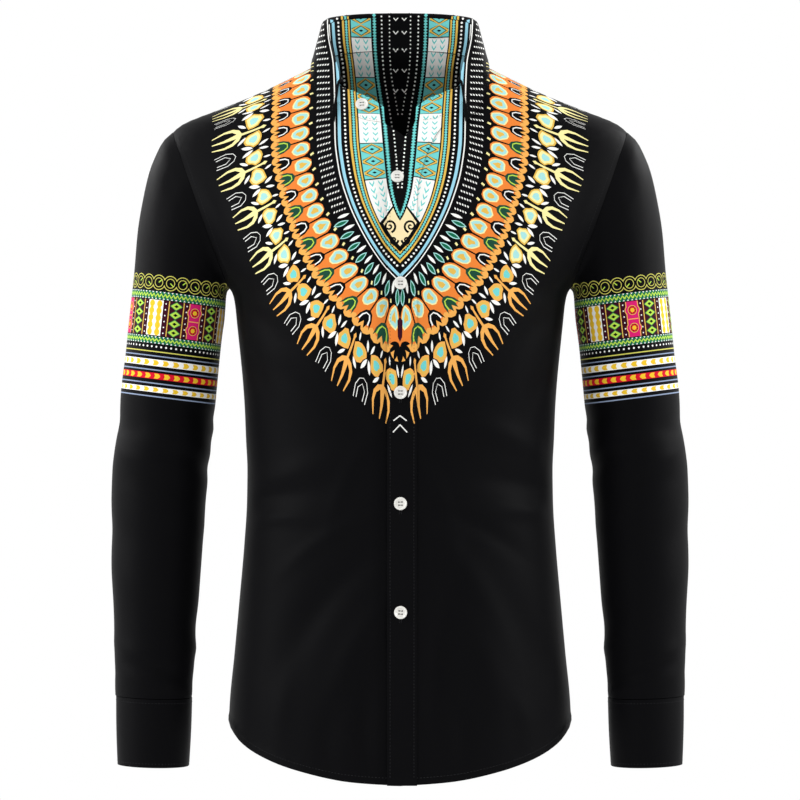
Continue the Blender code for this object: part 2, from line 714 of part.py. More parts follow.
def material(finish):
    """Principled material of a finish, made once."""
    found = bpy.data.materials.get(finish.name)
    if found:
        return found
    made = bpy.data.materials.new(finish.name)
    made.use_nodes = True
    shader = made.node_tree.nodes["Principled BSDF"]
    shader.inputs["Base Color"].default_value = (*finish.colour, 1.0)
    shader.inputs["Roughness"].default_value = finish.roughness
    shader.inputs["Metallic"].default_value = 0.0
    made.diffuse_color = (*finish.colour, 1.0)
    return made


def add_cloth(name, points, outs, wall, closed=False, lift=0.0):
    """A closed wall of cloth whose outside passes through the points."""
    body = bmesh.new()
    rows, columns = len(points), len(points[0])
    layers = []
    for depth in (lift, lift - wall):
        layers.append([[body.verts.new(p + n * depth) for p, n in zip(line, out)]
                       for line, out in zip(points, outs)])
    wraps = columns if closed else columns - 1
    for layer, flip in zip(layers, (False, True)):
        for r in range(rows - 1):
            for c in range(wraps):
                d = (c + 1) % columns
                one, two, three, four = layer[r][c], layer[r + 1][c], layer[r + 1][d], layer[r][d]
                for corners in ([one, two, three], [one, three, four]):
                    body.faces.new(corners[::-1] if flip else corners)
    outside, inside = layers
    for r in (0, rows - 1):
        for c in range(wraps):
            d = (c + 1) % columns
            add_rim(body, outside[r][c], outside[r][d], inside[r][d], inside[r][c])
    if not closed:
        for c in (0, columns - 1):
            for r in range(rows - 1):
                add_rim(body, outside[r][c], outside[r + 1][c], inside[r + 1][c], inside[r][c])
    return add_object(name, body, BLACK_CLOTH)


def add_rim(body, out_a, out_b, in_b, in_a):
    """Two triangles of a cut edge, split from the higher corner so that both sides of a seam agree."""
    if out_a.co.z > out_b.co.z:
        corners = ([out_a, out_b, in_b], [out_a, in_b, in_a])
    else:
        corners = ([out_a, out_b, in_a], [out_b, in_b, in_a])
    for corner in corners:
        body.faces.new(corner)


def add_button(name, place, out, clearance=BUTTON_CLEARANCE):
    """A four-hole button with a raised rim lying on the cloth."""
    body = bmesh.new()
    rings = []
    for point in BUTTON_PROFILE:
        rings.append([
            body.verts.new((point.radius * cos(2 * pi * i / BUTTON_SIDES),
                            point.radius * sin(2 * pi * i / BUTTON_SIDES), point.height))
            for i in range(BUTTON_SIDES)
        ])
    for low, high in zip(rings, rings[1:]):
        for i in range(BUTTON_SIDES):
            j = (i + 1) % BUTTON_SIDES
            body.faces.new([low[i], low[j], high[j], high[i]])
    levels = (BUTTON_PROFILE[0].height, BUTTON_PROFILE[-1].height)
    holes = {level: [] for level in levels}
    for sx, sy in ((1, 1), (-1, 1), (-1, -1), (1, -1)):
        loops = []
        for level in levels:
            loop = [
                body.verts.new((sx * HOLE_PITCH + HOLE_RADIUS * cos(2 * pi * i / HOLE_SIDES),
                                sy * HOLE_PITCH + HOLE_RADIUS * sin(2 * pi * i / HOLE_SIDES), level))
                for i in range(HOLE_SIDES)
            ]
            holes[level].append(loop)
            loops.append(loop)
        for i in range(HOLE_SIDES):
            j = (i + 1) % HOLE_SIDES
            body.faces.new([loops[0][i], loops[1][i], loops[1][j], loops[0][j]])
    for level, ring in zip(levels, (rings[0], rings[-1])):
        edges = []
        for loop in [ring] + holes[level]:
            for a, b in zip(loop, loop[1:] + loop[:1]):
                edges.append(body.edges.get((a, b)) or body.edges.new((a, b)))
        bmesh.ops.triangle_fill(body, use_beauty=True, edges=edges)
    turn = Vector((0, 0, 1)).rotation_difference(out).to_matrix().to_4x4()
    bmesh.ops.transform(body, matrix=turn, verts=body.verts)
    bmesh.ops.translate(body, vec=place + out * clearance, verts=body.verts)
    return add_object(name, body, WHITE_BUTTON)


def build_body():
    """Both fronts, the placket and the back."""
    front_seam, back_seam = armhole_outs()
    back_points, back_outs = back_grid()
    for name, mirror in (("front_left", 1), ("front_right", -1)):
        points, outs = front_grid(mirror)
        front_neck, back_neck = neck_outs(mirror)
        outs[0][: len(front_neck)] = front_neck
        for row, out in enumerate(mirrored([front_seam], mirror)[0]):
            outs[row][-1] = out
        for row, out in enumerate(mirrored([back_seam], mirror)[0]):
            back_outs[row][-1 if mirror > 0 else 0] = out
        for step, out in enumerate(back_neck[::-1]):
            back_outs[0][BACK_COLUMNS + mirror * step] = out
        if mirror > 0:
            strip = [line[: PLACKET_COLUMNS + 1] for line in points]
            strip_outs = [line[: PLACKET_COLUMNS + 1] for line in outs]
            add_cloth("placket", strip, strip_outs, PLACKET_CLOTH, lift=GAP + PLACKET_CLOTH)
        add_cloth(name, points, outs, CLOTH)
    add_cloth("back", back_points, back_outs, CLOTH)


def build_sleeves():
    """Sleeves and cuffs; left is the wearer's left, at the viewer's right."""
    for name, mirror in (("left", 1), ("right", -1)):
        points, outs = sleeve_grid(mirror)
        add_cloth(f"sleeve_{name}", points, outs, CLOTH, closed=True)
        points, outs = cuff_grid(mirror)
        add_cloth(f"cuff_{name}", points, outs, CUFF_CLOTH)


def build_collar():
    """Stand and leaf of the collar."""
    points, outs = stand_grid()
    add_cloth("collar_stand", points, outs, COLLAR_CLOTH)
    points, outs = leaf_grid()
    add_cloth("collar_leaf", points, outs, COLLAR_CLOTH)


def build_buttons():
    """Five front buttons, one on the collar stand and one on each cuff."""
    points, outs = front_grid(1)
    lift = GAP + PLACKET_CLOTH
    strip = [[p + n * lift for p, n in zip(line[:2], out[:2])] for line, out in zip(points, outs)]
    for number, z in enumerate(BUTTON_HEIGHTS, 1):
        row = next(i for i, line in enumerate(strip) if line[0].z < z)
        (a, b), (c, d) = strip[row - 1], strip[row]
        down, across = (a.z - z) / (a.z - c.z), (BUTTON_X - a.x) / (b.x - a.x)
        place = a.lerp(b, across).lerp(c.lerp(d, across), down)
        add_button(f"button_{number}", place, (d - a).cross(b - c).normalized())
    lines = stand_grid()[0]
    column = len(lines[0]) - 1 - COLLAR_BUTTON_AT
    (a, b), (c, d) = lines[0][column - 1 : column + 1], lines[-1][column - 1 : column + 1]
    place = a.lerp(b, 0.5).lerp(c.lerp(d, 0.5), COLLAR_BUTTON_DROP)
    flat_out = (d - a).cross(b - c).normalized()
    add_button("button_collar", place, flat_out, COLLAR_BUTTON_CLEARANCE)
    for name, mirror in (("left", 1), ("right", -1)):
        points, outs = cuff_grid(mirror)
        span = 2 * pi + CUFF_LAP
        column = round((CUFF_BUTTON_TURN - CUFF_END + span) / span * CUFF_SIDES)
        place = points[1][column].lerp(points[2][column], 0.5)
        add_button(f"button_cuff_{name}", place, outs[1][column])


def main():
    """Clear the file and build every piece."""
    for item in list(bpy.data.objects):
        bpy.data.objects.remove(item, do_unlink=True)
    build_body()
    build_sleeves()
    build_collar()
    build_buttons()


main()
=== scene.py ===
import logging
from dataclasses import dataclass, field
from enum import Enum
from itertools import pairwise
from math import cos, pi, radians, sin
from typing import Callable, NamedTuple

import bpy
import numpy as np
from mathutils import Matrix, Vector
from mathutils.geometry import delaunay_2d_cdt
from mathutils.kdtree import KDTree


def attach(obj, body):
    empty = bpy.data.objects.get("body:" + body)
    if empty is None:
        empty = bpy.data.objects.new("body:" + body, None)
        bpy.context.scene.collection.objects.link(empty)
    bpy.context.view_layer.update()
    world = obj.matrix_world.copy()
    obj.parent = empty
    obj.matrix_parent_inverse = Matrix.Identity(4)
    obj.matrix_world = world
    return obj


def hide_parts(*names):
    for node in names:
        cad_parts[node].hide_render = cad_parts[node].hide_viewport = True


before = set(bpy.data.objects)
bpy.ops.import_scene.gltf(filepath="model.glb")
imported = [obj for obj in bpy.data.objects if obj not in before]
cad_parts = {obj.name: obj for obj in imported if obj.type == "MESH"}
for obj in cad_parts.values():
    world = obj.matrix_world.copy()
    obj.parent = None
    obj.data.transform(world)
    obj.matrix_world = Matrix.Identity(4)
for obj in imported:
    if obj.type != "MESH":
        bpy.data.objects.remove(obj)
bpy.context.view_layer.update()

# A long-sleeved button-up shirt, filled out as when worn, with a printed neck.
# Lengths are in millimetres until a mesh is made. X is to the viewer's right, the
# front faces -Y, Z is up, and the origin lies between the shoulders' high points.

MM = 0.001
log = logging.getLogger("shirt")
Points = np.ndarray


class Dye(Enum):
    """Colours of the cloth and of its print, as sRGB hex values."""

    BLACK = "#060608"
    WHITE = "#FBFBF7"
    TURQUOISE = "#74D6D3"
    PALE_TURQUOISE = "#A9E2DF"
    LIGHT_BLUE = "#9CD6EA"
    ORANGE = "#F0873A"
    LIGHT_ORANGE = "#F6B25A"
    PALE_YELLOW = "#FAEFA6"
    OCHRE = "#E8BD58"
    DARK_GREEN = "#1E4B3A"
    LIME = "#B9DF50"
    GREEN = "#1F8A50"
    MAROON = "#3A0E20"
    MAGENTA = "#D6206F"
    RED = "#D3152D"
    YELLOW = "#F1C52F"
    STEEL_BLUE = "#8E9DB8"
    STRAW = "#CFCB62"
    DEEP_GREEN = "#12694A"
    CREAM = "#F8E5B4"


class Skin(Enum):
    """Side of the cloth that a patch of colour is printed on."""

    OUTSIDE = 0
    INSIDE = 1


class Patch(NamedTuple):
    """One shape of the print: its corners and its colour."""

    corners: Points
    dye: Dye


def linear(hex_colour: str) -> tuple[float, float, float, float]:
    """Turn an sRGB hex colour into linear light.

    Args:
        hex_colour: the colour as #RRGGBB.

    Returns:
        Red, green and blue in linear light, and full opacity.
    """
    shares = [int(hex_colour[i : i + 2], 16) / 255 for i in (1, 3, 5)]
    red, green, blue = [s / 12.92 if s <= 0.04045 else ((s + 0.055) / 1.055) ** 2.4 for s in shares]
    return red, green, blue, 1.0


def add_node(tree: bpy.types.NodeTree, kind: str, settings: dict, links: dict) -> bpy.types.Node:
    """Add a node with its settings and the links into it.

    Args:
        tree: the material's node tree.
        kind: the node's type name.
        settings: attributes of the node, or values of its inputs by name or number.
        links: output sockets by the name or number of the input that they go to.

    Returns:
        The new node.
    """
    node = tree.nodes.new(kind)
    for name, value in settings.items():
        if isinstance(name, str) and hasattr(node, name):
            setattr(node, name, value)
        else:
            node.inputs[name].default_value = value
    for name, socket in links.items():
        tree.links.new(socket, node.inputs[name])
    return node


def start_material(name: str, base: tuple[float, float, float, float],
        inputs: dict[str, float]) -> bpy.types.Material:
    """Start a material with a plain shader.

    Args:
        name: its name.
        base: its base colour in linear light.
        inputs: values of the shader's inputs by name.

    Returns:
        The material.
    """
    made = bpy.data.materials.new(name)
    made.use_nodes = True
    shader = made.node_tree.nodes["Principled BSDF"]
    shader.inputs["Base Color"].default_value = made.diffuse_color = base
    for socket, value in inputs.items():
        shader.inputs[socket].default_value = value
    return made


@dataclass(frozen=True)
class PrintedCotton:
    """Plain-woven cotton poplin, dyed in the print's colour: matt, with a fine grid of threads.

    Real threads lie about 0.3 mm apart. They are drawn 1.1 mm apart, so that they show. Even
    the brightest dyed cotton gives back only part of the light, and fluff on the threads
    gives a faint sheen along the edges.
    """

    dye: Dye
    roughness: float = 0.55
    specular: float = 0.035
    brightness: float = 0.8
    sheen: float = 0.012
    thread_pitch: float = 1.1
    relief: float = 0.12

    def material(self) -> bpy.types.Material:
        """Make the material, once for each colour.

        Returns:
            The material.
        """
        name = f"printed_cotton_{self.dye.name.lower()}"
        if name in bpy.data.materials:
            return bpy.data.materials[name]
        red, green, blue, _ = (share * self.brightness for share in linear(self.dye.value))
        made = start_material(name, (red, green, blue, 1.0),
            {"Roughness": self.roughness, "Specular IOR Level": self.specular, "Sheen Weight": self.sheen})
        tree = made.node_tree
        wave_scale = pi / 10 / self.thread_pitch
        flat = add_node(tree, "ShaderNodeUVMap", {"uv_map": "cloth"}, {})
        size = add_node(tree, "ShaderNodeMapping", {"Scale": (1 / MM, 1 / MM, 1 / MM)},
            {"Vector": flat.outputs[0]})
        waves = [add_node(tree, "ShaderNodeTexWave",
            {"bands_direction": way, "Scale": wave_scale, "Distortion": 0.6, "Detail": 1.0},
            {"Vector": size.outputs[0]}) for way in ("X", "Y")]
        weave = add_node(tree, "ShaderNodeMath", {"operation": "MULTIPLY"},
            {0: waves[0].outputs["Fac"], 1: waves[1].outputs["Fac"]})
        bump = add_node(tree, "ShaderNodeBump", {"Strength": 0.5, "Distance": self.relief * MM},
            {"Height": weave.outputs[0]})
        tree.links.new(bump.outputs[0], tree.nodes["Principled BSDF"].inputs["Normal"])
        return made


@dataclass(frozen=True)
class SewingThread:
    """Spun polyester thread: matt, with the twist of its two plies."""

    name: str
    colour: str
    twist_pitch: float = 0.9

    def material(self) -> bpy.types.Material:
        """Make the material, once for each thread.

        Returns:
            The material.
        """
        name = f"sewing_thread_{self.name}"
        if name in bpy.data.materials:
            return bpy.data.materials[name]
        made = start_material(name, linear(self.colour), {"Roughness": 0.7, "Specular IOR Level": 0.25})
        tree = made.node_tree
        place = add_node(tree, "ShaderNodeTexCoord", {}, {})
        twist = add_node(tree, "ShaderNodeTexWave",
            {"bands_direction": "DIAGONAL", "Scale": pi / 10 / (self.twist_pitch * MM)},
            {"Vector": place.outputs["Object"]})
        bump = add_node(tree, "ShaderNodeBump", {"Strength": 0.4, "Distance": 0.1 * MM},
            {"Height": twist.outputs["Fac"]})
        tree.links.new(bump.outputs[0], tree.nodes["Principled BSDF"].inputs["Normal"])
        return made


@dataclass(frozen=True)
class PolishedResin:
    """Cast polyester resin, tumbled to a soft shine: white shirt buttons with faint clouds."""

    colour: str = "#DAD9D5"
    cloud_colour: str = "#C8C6BF"
    cloud_size: float = 4.0

    def material(self) -> bpy.types.Material:
        """Make the material.

        Returns:
            The material.
        """
        made = start_material("polished_resin_white", linear(self.colour),
            {"Roughness": 0.22, "IOR": 1.54, "Coat Weight": 0.3, "Coat Roughness": 0.12})
        tree = made.node_tree
        place = add_node(tree, "ShaderNodeTexCoord", {}, {})
        clouds = add_node(tree, "ShaderNodeTexNoise", {"Scale": 1 / (self.cloud_size * MM), "Detail": 3.0},
            {"Vector": place.outputs["Object"]})
        mixed = add_node(tree, "ShaderNodeMix", {"data_type": "RGBA"}, {"Factor": clouds.outputs["Fac"]})
        mixed.inputs[6].default_value = linear(self.colour)
        mixed.inputs[7].default_value = linear(self.cloud_colour)
        tree.links.new(mixed.outputs[2], tree.nodes["Principled BSDF"].inputs["Base Color"])
        return made


def unit(vectors: Points) -> Points:
    """Shorten vectors to length 1."""
    return vectors / np.maximum(np.linalg.norm(vectors, axis=-1, keepdims=True), 1e-9)


def run_along(line: Points) -> Points:
    """Give the length of a line up to each of its points."""
    return np.concatenate([[0], np.cumsum(np.linalg.norm(np.diff(line, axis=0), axis=1))])


def rectangle(left: float, right: float, high: float, across: int, up: int) -> Points:
    """Walk round a rectangle of flat cloth that starts at height 0.

    Args:
        left: its left edge.
        right: its right edge.
        high: its upper edge.
        across: number of corners along its length.
        up: number of corners along its height.

    Returns:
        The corners.
    """
    xs, ys = np.linspace(left, right, across), np.linspace(0, high, up)
    return np.array([(x, 0.0) for x in xs] + [(right, y) for y in ys[1:]]
        + [(x, high) for x in xs[::-1][1:]] + [(left, y) for y in ys[::-1][1:-1]])


class Curve:
    """A smooth curve through values that never overshoots them."""

    def __init__(self, at: Points, value: Points) -> None:
        """Fit the curve.

        Args:
            at: where the values stand, in any order.
            value: the values.
        """
        order = np.argsort(at)
        self.at, self.value = np.asarray(at, float)[order], np.asarray(value, float)[order]
        span = np.diff(self.at)
        slope = np.diff(self.value) / span
        bend = np.zeros_like(self.value)
        bend[0], bend[-1] = slope[0], slope[-1]
        for i in range(1, len(self.at) - 1):
            if slope[i - 1] * slope[i] > 0:
                near, far = 2 * span[i] + span[i - 1], span[i] + 2 * span[i - 1]
                bend[i] = (near + far) / (near / slope[i - 1] + far / slope[i])
        self.span, self.bend = span, bend

    def __call__(self, x: Points) -> Points:
        """Read the curve, held level beyond its ends.

        Args:
            x: the places.

        Returns:
            The values there.
        """
        x = np.clip(x, self.at[0], self.at[-1])
        i = np.clip(np.searchsorted(self.at, x, side="right") - 1, 0, len(self.at) - 2)
        t = (x - self.at[i]) / self.span[i]
        start = (1 + 2 * t) * (1 - t) ** 2 * self.value[i] + t * (1 - t) ** 2 * self.span[i] * self.bend[i]
        end = t * t * (3 - 2 * t) * self.value[i + 1] + t * t * (t - 1) * self.span[i] * self.bend[i + 1]
        return start + end


def column(rows: list, knot: str, name: str) -> Curve:
    """Fit one named column of a table against another."""
    return Curve([getattr(row, knot) for row in rows], [getattr(row, name) for row in rows])


def by_row(rows: list, name: str) -> Curve:
    """Fit one named column of a table against the row number."""
    return Curve(np.arange(len(rows)), [getattr(row, name) for row in rows])


def fill(kind: Callable, numbers: list[tuple[float, ...]]) -> list:
    """Fill a table with rows of one kind, from their numbers in order."""
    return [kind(*map(float, row)) for row in numbers]


def ease(t: Points) -> Points:
    """Step softly from 0 to 1."""
    t = np.clip(t, 0.0, 1.0)
    return t * t * (3 - 2 * t)


class Section(NamedTuple):
    """Half width and depths of the body at a height, and how square its corners are."""

    z: float
    half_width: float
    front_depth: float
    back_depth: float
    squareness: float


TORSO = fill(Section, [
    (27, 70, 50, 48, 2.3), (21, 76, 52, 49.5, 2.3), (14.5, 80.6, 54.5, 52, 2.3), (8.5, 83.5, 57, 55, 2.3),
    (6, 88, 58, 57, 2.3), (-8, 116, 62.5, 65, 2.3), (-23.5, 149, 67, 74, 2.3), (-38.8, 187, 71.5, 82, 2.3),
    (-53, 222, 76.5, 89, 2.3), (-61, 232, 79.5, 92.5, 2.3), (-75, 240.5, 85.5, 98, 2.3),
    (-90, 244, 92, 103, 2.3), (-110, 243, 101, 109, 2.3), (-130, 236, 110, 114, 2.32),
    (-150, 226, 117.5, 117.5, 2.36), (-170, 213.5, 123, 119.5, 2.42), (-190, 199, 127, 120.5, 2.5),
    (-205, 187.5, 129, 120.5, 2.6), (-215, 179, 130, 120.5, 2.68), (-221, 174, 130.5, 120.3, 2.74),
    (-224, 171.8, 130.5, 120.2, 2.78), (-230, 169.9, 130.5, 120, 2.82), (-240, 168.2, 130.5, 119.7, 2.86),
    (-253, 166.9, 130, 119, 2.86), (-283.6, 163.7, 127.5, 116, 2.74), (-314.2, 160.7, 124.5, 112, 2.6),
    (-344.8, 158.6, 121.5, 108, 2.5), (-375.4, 157.4, 119, 105, 2.42), (-406, 156, 117.5, 104, 2.4),
    (-436.6, 156.4, 117, 105.5, 2.4), (-482.5, 159.2, 117.5, 111, 2.4), (-528.4, 163.2, 118.5, 116.5, 2.4),
    (-589.6, 168.8, 120, 121.5, 2.4), (-650.8, 174.4, 121, 123, 2.4), (-720, 176, 121.5, 123, 2.4),
])


class Place(NamedTuple):
    """A place of the flat outline, seen from the front or the back."""

    x: float
    z: float


FRONT_NECK = fill(Place, [
    (15.5, -56), (30.3, -54.5), (45.1, -49.5), (57, -41.5), (67.5, -29.5), (75.5, -15.5), (80.5, -3),
    (83, 4.8), (83.5, 8.5),
])
BACK_NECK = fill(Place, [
    (0, 27), (38, 25), (62, 21), (78, 14.5), (83.5, 8.5),
])
HEM = fill(Place, [
    (0, -717.5), (50, -714), (100, -704.5), (136, -693), (160, -680), (176, -662),
])
SHOULDER_TIP = Place(232.0, -61.0)
UNDERARM = Place(174.0, -221.0)
SIDE_HEM_Z = -662.0


class OpeningEdge(NamedTuple):
    """Middle edge of each front at a height, from the middle towards its own side."""

    z: float
    upper_front: float
    under_front: float


OPENING = fill(OpeningEdge, [
    (-56, 15.5, 15.5), (-61, 12.5, 8), (-68, 7, -2.5), (-82, 0, -12), (-98, -6, -15), (-135, -12.8, -15),
    (-720, -12.8, -15),
])


class Fold(NamedTuple):
    """A soft ridge, or a trough where its height is negative, along a slanted line."""

    x: float
    z: float
    angle: float
    reach: float
    spread: float
    height: float


FRONT_FOLDS = fill(Fold, [
    (-128, -430, 12, 45, 12, -3.2), (-100, -405, 20, 55, 15, 2.6), (-62, -520, 48, 70, 14, -2.8),
    (-43, -577, 60, 62, 14, 3.4), (-96, -560, 66, 70, 20, -3.2), (112, -372, -22, 45, 13, 3),
    (118, -418, -14, 48, 13, -3.2), (66, -505, -52, 75, 15, 3), (138, -590, -68, 60, 16, -3.4),
    (92, -610, -76, 66, 18, 3.4), (128, -268, 44, 46, 12, -2.6), (-130, -262, -42, 46, 12, -2.8),
    (36, -600, 86, 85, 12, -2.4), (-34, -655, 88, 52, 11, -2.4), (-118, -452, 4, 34, 7, 1.8),
    (-84, -478, 34, 52, 8, 1.7), (126, -446, -6, 36, 8, 1.9), (88, -466, -30, 50, 9, -1.8),
    (-148, -300, -58, 36, 8, -1.7), (146, -310, 56, 38, 8, -1.6), (-74, -330, -34, 52, 13, -1.6),
    (70, -322, 40, 56, 13, -1.7), (-52, -408, 62, 50, 9, 1.4), (40, -430, -66, 44, 9, 1.3),
    (-120, -640, 80, 46, 12, 2.2), (-72, -668, 82, 34, 11, -2), (62, -668, -84, 34, 11, -2.1),
    (126, -655, -74, 30, 11, 1.9), (-176, -150, -70, 40, 11, -1.5), (176, -150, 70, 40, 11, -1.5),
])
BACK_FOLDS = fill(Fold, [
    (-62, -452, 16, 70, 15, -3.8), (58, -430, -20, 66, 14, -3.6), (8, -398, 4, 80, 16, 3.6),
    (-88, -560, 74, 80, 20, 4), (70, -590, -80, 80, 18, 4), (-12, -610, 88, 85, 20, -3.6),
    (112, -300, 52, 70, 15, -3.4), (-110, -310, -56, 70, 16, -3.4), (4, -170, 88, 80, 26, -2.6),
    (-96, -420, 8, 44, 8, 2.2), (102, -466, -10, 46, 9, 2.2), (-24, -482, 30, 54, 9, 2),
    (34, -360, -12, 52, 10, -1.9), (-70, -250, -40, 60, 13, 1.9), (76, -240, 42, 60, 13, 1.9),
    (-134, -370, 26, 34, 9, -1.8), (136, -380, -26, 34, 9, -1.8), (34, -650, 86, 44, 12, 2),
    (-50, -655, -84, 42, 12, -2), (124, -630, -78, 46, 13, -2.2), (-136, -630, 78, 46, 13, -2.2),
])
SEAM_CALM = 24.0
FRONT_LAP_STEP = 1.8
LAP_STARTS_AT = 26.0
LAP_FULL_AT = 14.0
SEAM_GAP = 0.3
HEM_DEPTH = 8.0
HEM_LIFT = 0.7

# Outline of the sleeve seen from the front.
SLEEVE_OUTER = fill(Place, [
    (232, -61), (241.2, -69.4), (249.4, -84.7), (255.5, -100), (262.7, -130.6), (267.8, -161.2),
    (271.8, -207), (276.9, -253), (280, -283.6), (285.6, -329.5), (286.8, -352), (291, -380), (294.2, -406),
    (295, -440), (294.4, -497.8), (291.4, -559), (290, -620), (288.2, -650.8), (287, -710),
])
SLEEVE_INNER = fill(Place, [
    (174, -221), (176.3, -223.4), (177.6, -230), (178.3, -240), (179.4, -253), (181.6, -268), (186.4, -314.2),
    (189.2, -344.8), (191.9, -375.4), (195.2, -406), (198.4, -436.6), (202.5, -497.8), (206.6, -559),
    (210.6, -620), (212.7, -650.8), (214.8, -710),
])


class Ring(NamedTuple):
    """One ring of the sleeve, from its outer to its inner edge."""

    outer_z: float
    inner_z: float
    half_depth: float
    middle_y: float
    armhole_share: float


SLEEVE_RINGS = fill(Ring, [
    (-61, -221, 60, 0, 1), (-67, -222.3, 60.5, 0, 0.85), (-78, -224.6, 61, 0, 0.65),
    (-95, -228.5, 61.5, 0, 0.45), (-118, -233.5, 62, 0.5, 0.25), (-145, -240, 62.5, 1, 0.1),
    (-175, -248.5, 62.5, 1.5, 0), (-206, -258, 62.5, 2, 0), (-238, -270, 62.5, 2.5, 0),
    (-268, -288, 62, 3, 0), (-298, -313, 61.5, 4, 0), (-328, -341, 60, 5, 0), (-352, -364, 58.5, 5.5, 0),
    (-376, -387, 57, 5.5, 0), (-402, -412, 55.5, 5, 0), (-432, -440, 53.5, 3.5, 0), (-464, -471, 51.5, 1, 0),
    (-497, -503, 49, -2.5, 0), (-530, -535, 46.5, -6.5, 0), (-563, -567, 44, -10.5, 0),
    (-590, -593.5, 42.5, -14, 0), (-612, -615, 41, -17, 0), (-634.5, -637, 38.5, -20, 0),
])
CUFF_TOP = Ring(-635.3, -637.8, 38.5, -20.0, 0.0)
CUFF_BOTTOM = Ring(-704.0, -706.0, 38.0, -27.0, 0.0)
CUFF_LAP = radians(38.0)
CUFF_END = radians(252.0)
CUFF_LAP_STEP = 2.2


class SleeveFold(NamedTuple):
    """A fold round the sleeve, by its turn from the outer edge over the front."""

    turn: float
    z: float
    reach: float
    spread: float
    height: float


SLEEVE_FOLDS = fill(SleeveFold, [
    (150, -352, 46, 10, -3), (120, -378, 56, 11, 2.6), (165, -402, 42, 10, -2.8), (40, -364, 34, 10, -2.2),
    (230, -390, 60, 13, -3), (100, -607, 60, 9, -2), (300, -600, 60, 10, -2), (60, -392, 40, 7, 1.5),
    (96, -420, 50, 9, -1.6), (200, -365, 44, 8, 1.8), (250, -420, 56, 10, 1.8), (300, -370, 40, 9, -1.6),
    (130, -455, 48, 12, 1.4), (30, -470, 50, 16, -1.3), (75, -520, 60, 18, 1.2), (160, -560, 60, 15, -1.3),
    (60, -590, 50, 8, 1.4), (210, -592, 60, 8, 1.5), (120, -622, 60, 6, 1.2), (280, -622, 60, 6, 1.2),
])


class CollarStation(NamedTuple):
    """Top of the collar, and where its leaf's edge rests, for one place of the neckline."""

    top_x: float
    top_y: float
    top_z: float
    leaf_x: float
    leaf_z: float


COLLAR = fill(CollarStation, [
    (16.5, -68, -40, 0, 0), (31, -66, -30.5, 0, 0), (46, -61.5, -24, 0, 0), (57, -54.5, -15.5, 65, -57),
    (63.5, -45, -2, 76, -46), (68.5, -33.5, 17, 84, -31), (72.3, -19, 36, 88, -15),
    (73.8, -6.5, 46, 88.5, -2), (74.3, 6, 52, 87.6, 6.2), (70, 20, 57, 81, 6.5), (56, 33, 61, 65, 9),
    (34, 41.5, 63.5, 40, 11), (0, 46, 64.5, 0, 12.5),
])
SIDE_STATION = 8
LEAF_START = 3
LEAF_LIFT = 5.0
LEAF_OVER_NECK = 4.6
LEAF_MIDDLE = 0.55
COLLAR_WALL = 1.5
STAND_RISE = 0.35
FOLD_DROP = 3.0
FOLD_GAP = 0.8
LEAF_FOLD = [(-0.8, -3.0), (-0.6, 0.2), (1.7, 1.5), (4.4, 0.1), (5.4, -4.0)]


class Torso:
    """Outside of the body cloth as a function of the flat place seen from the front."""

    def __init__(self) -> None:
        """Fit the curves of the body."""
        self.half_width = column(TORSO, "z", "half_width")
        self.squareness = column(TORSO, "z", "squareness")
        self.depth = {-1: column(TORSO, "z", "front_depth"), 1: column(TORSO, "z", "back_depth")}
        self.folds = {-1: np.array(FRONT_FOLDS), 1: np.array(BACK_FOLDS)}
        self.hem = column(HEM, "x", "z")

    def armhole_x(self, z: Points) -> Points:
        """Give the armhole's distance from the middle."""
        share = (SHOULDER_TIP.z - z) / (SHOULDER_TIP.z - UNDERARM.z)
        return SHOULDER_TIP.x + share * (UNDERARM.x - SHOULDER_TIP.x)

    def fold_height(self, x: Points, z: Points, side: int) -> Points:
        """Sum how far the folds push the cloth out.

        Args:
            x: places across.
            z: heights.
            side: -1 for the front, 1 for the back.

        Returns:
            The heights of the folds, calm along the seams.
        """
        total = np.zeros(np.shape(x))
        for fold_x, fold_z, angle, reach, spread, height in self.folds[side]:
            turn = radians(angle)
            along = (x - fold_x) * cos(turn) + (z - fold_z) * sin(turn)
            across = (z - fold_z) * cos(turn) - (x - fold_x) * sin(turn)
            bow = across + 0.12 * along * along / reach
            total += height * np.exp(-((along / reach) ** 2) - (bow / spread) ** 2)
        at_armhole = (z < SHOULDER_TIP.z) & (z > UNDERARM.z)
        edge = np.where(at_armhole, self.armhole_x(z), self.half_width(z))
        return total * ease(np.maximum(edge - np.abs(x), 0) / SEAM_CALM)

    def place(self, x: Points, z: Points, side: int, under: bool = False) -> tuple[Points, Points]:
        """Place the cloth.

        Args:
            x: places across.
            z: heights.
            side: -1 for the front, 1 for the back.
            under: True for the front that lies beneath at the opening.

        Returns:
            The points and the outward directions of the body's plain form.
        """
        wide, deep, power = self.half_width(z), self.depth[side](z), self.squareness(z)
        t = np.clip(np.abs(x) / wide, 0, 1)
        level = t**power
        rest = 1 - level
        step = 0.5
        wide_slope = (self.half_width(z + step) - self.half_width(z - step)) / (2 * step)
        deep_slope = (self.depth[side](z + step) - self.depth[side](z - step)) / (2 * step)
        out = unit(np.stack([np.sign(x) * power * t ** (power - 1) / wide, side * 2 * np.sqrt(rest) / deep,
            -power * level * wide_slope / wide - 2 * rest * deep_slope / deep], -1))
        lift = self.fold_height(x, z, side)
        if under:
            lift = lift - ease((x + LAP_STARTS_AT) / (LAP_STARTS_AT - LAP_FULL_AT)) * FRONT_LAP_STEP
        rise = z - self.hem(np.minimum(np.abs(x), HEM[-1].x))
        lift = lift + HEM_LIFT * (1 - ease((rise - HEM_DEPTH) / 1.5))
        point = np.stack([t * wide * np.sign(x), side * deep * np.sqrt(rest) + side * SEAM_GAP / 2,
            z + 0 * x], -1)
        return point + out * lift[..., None], out


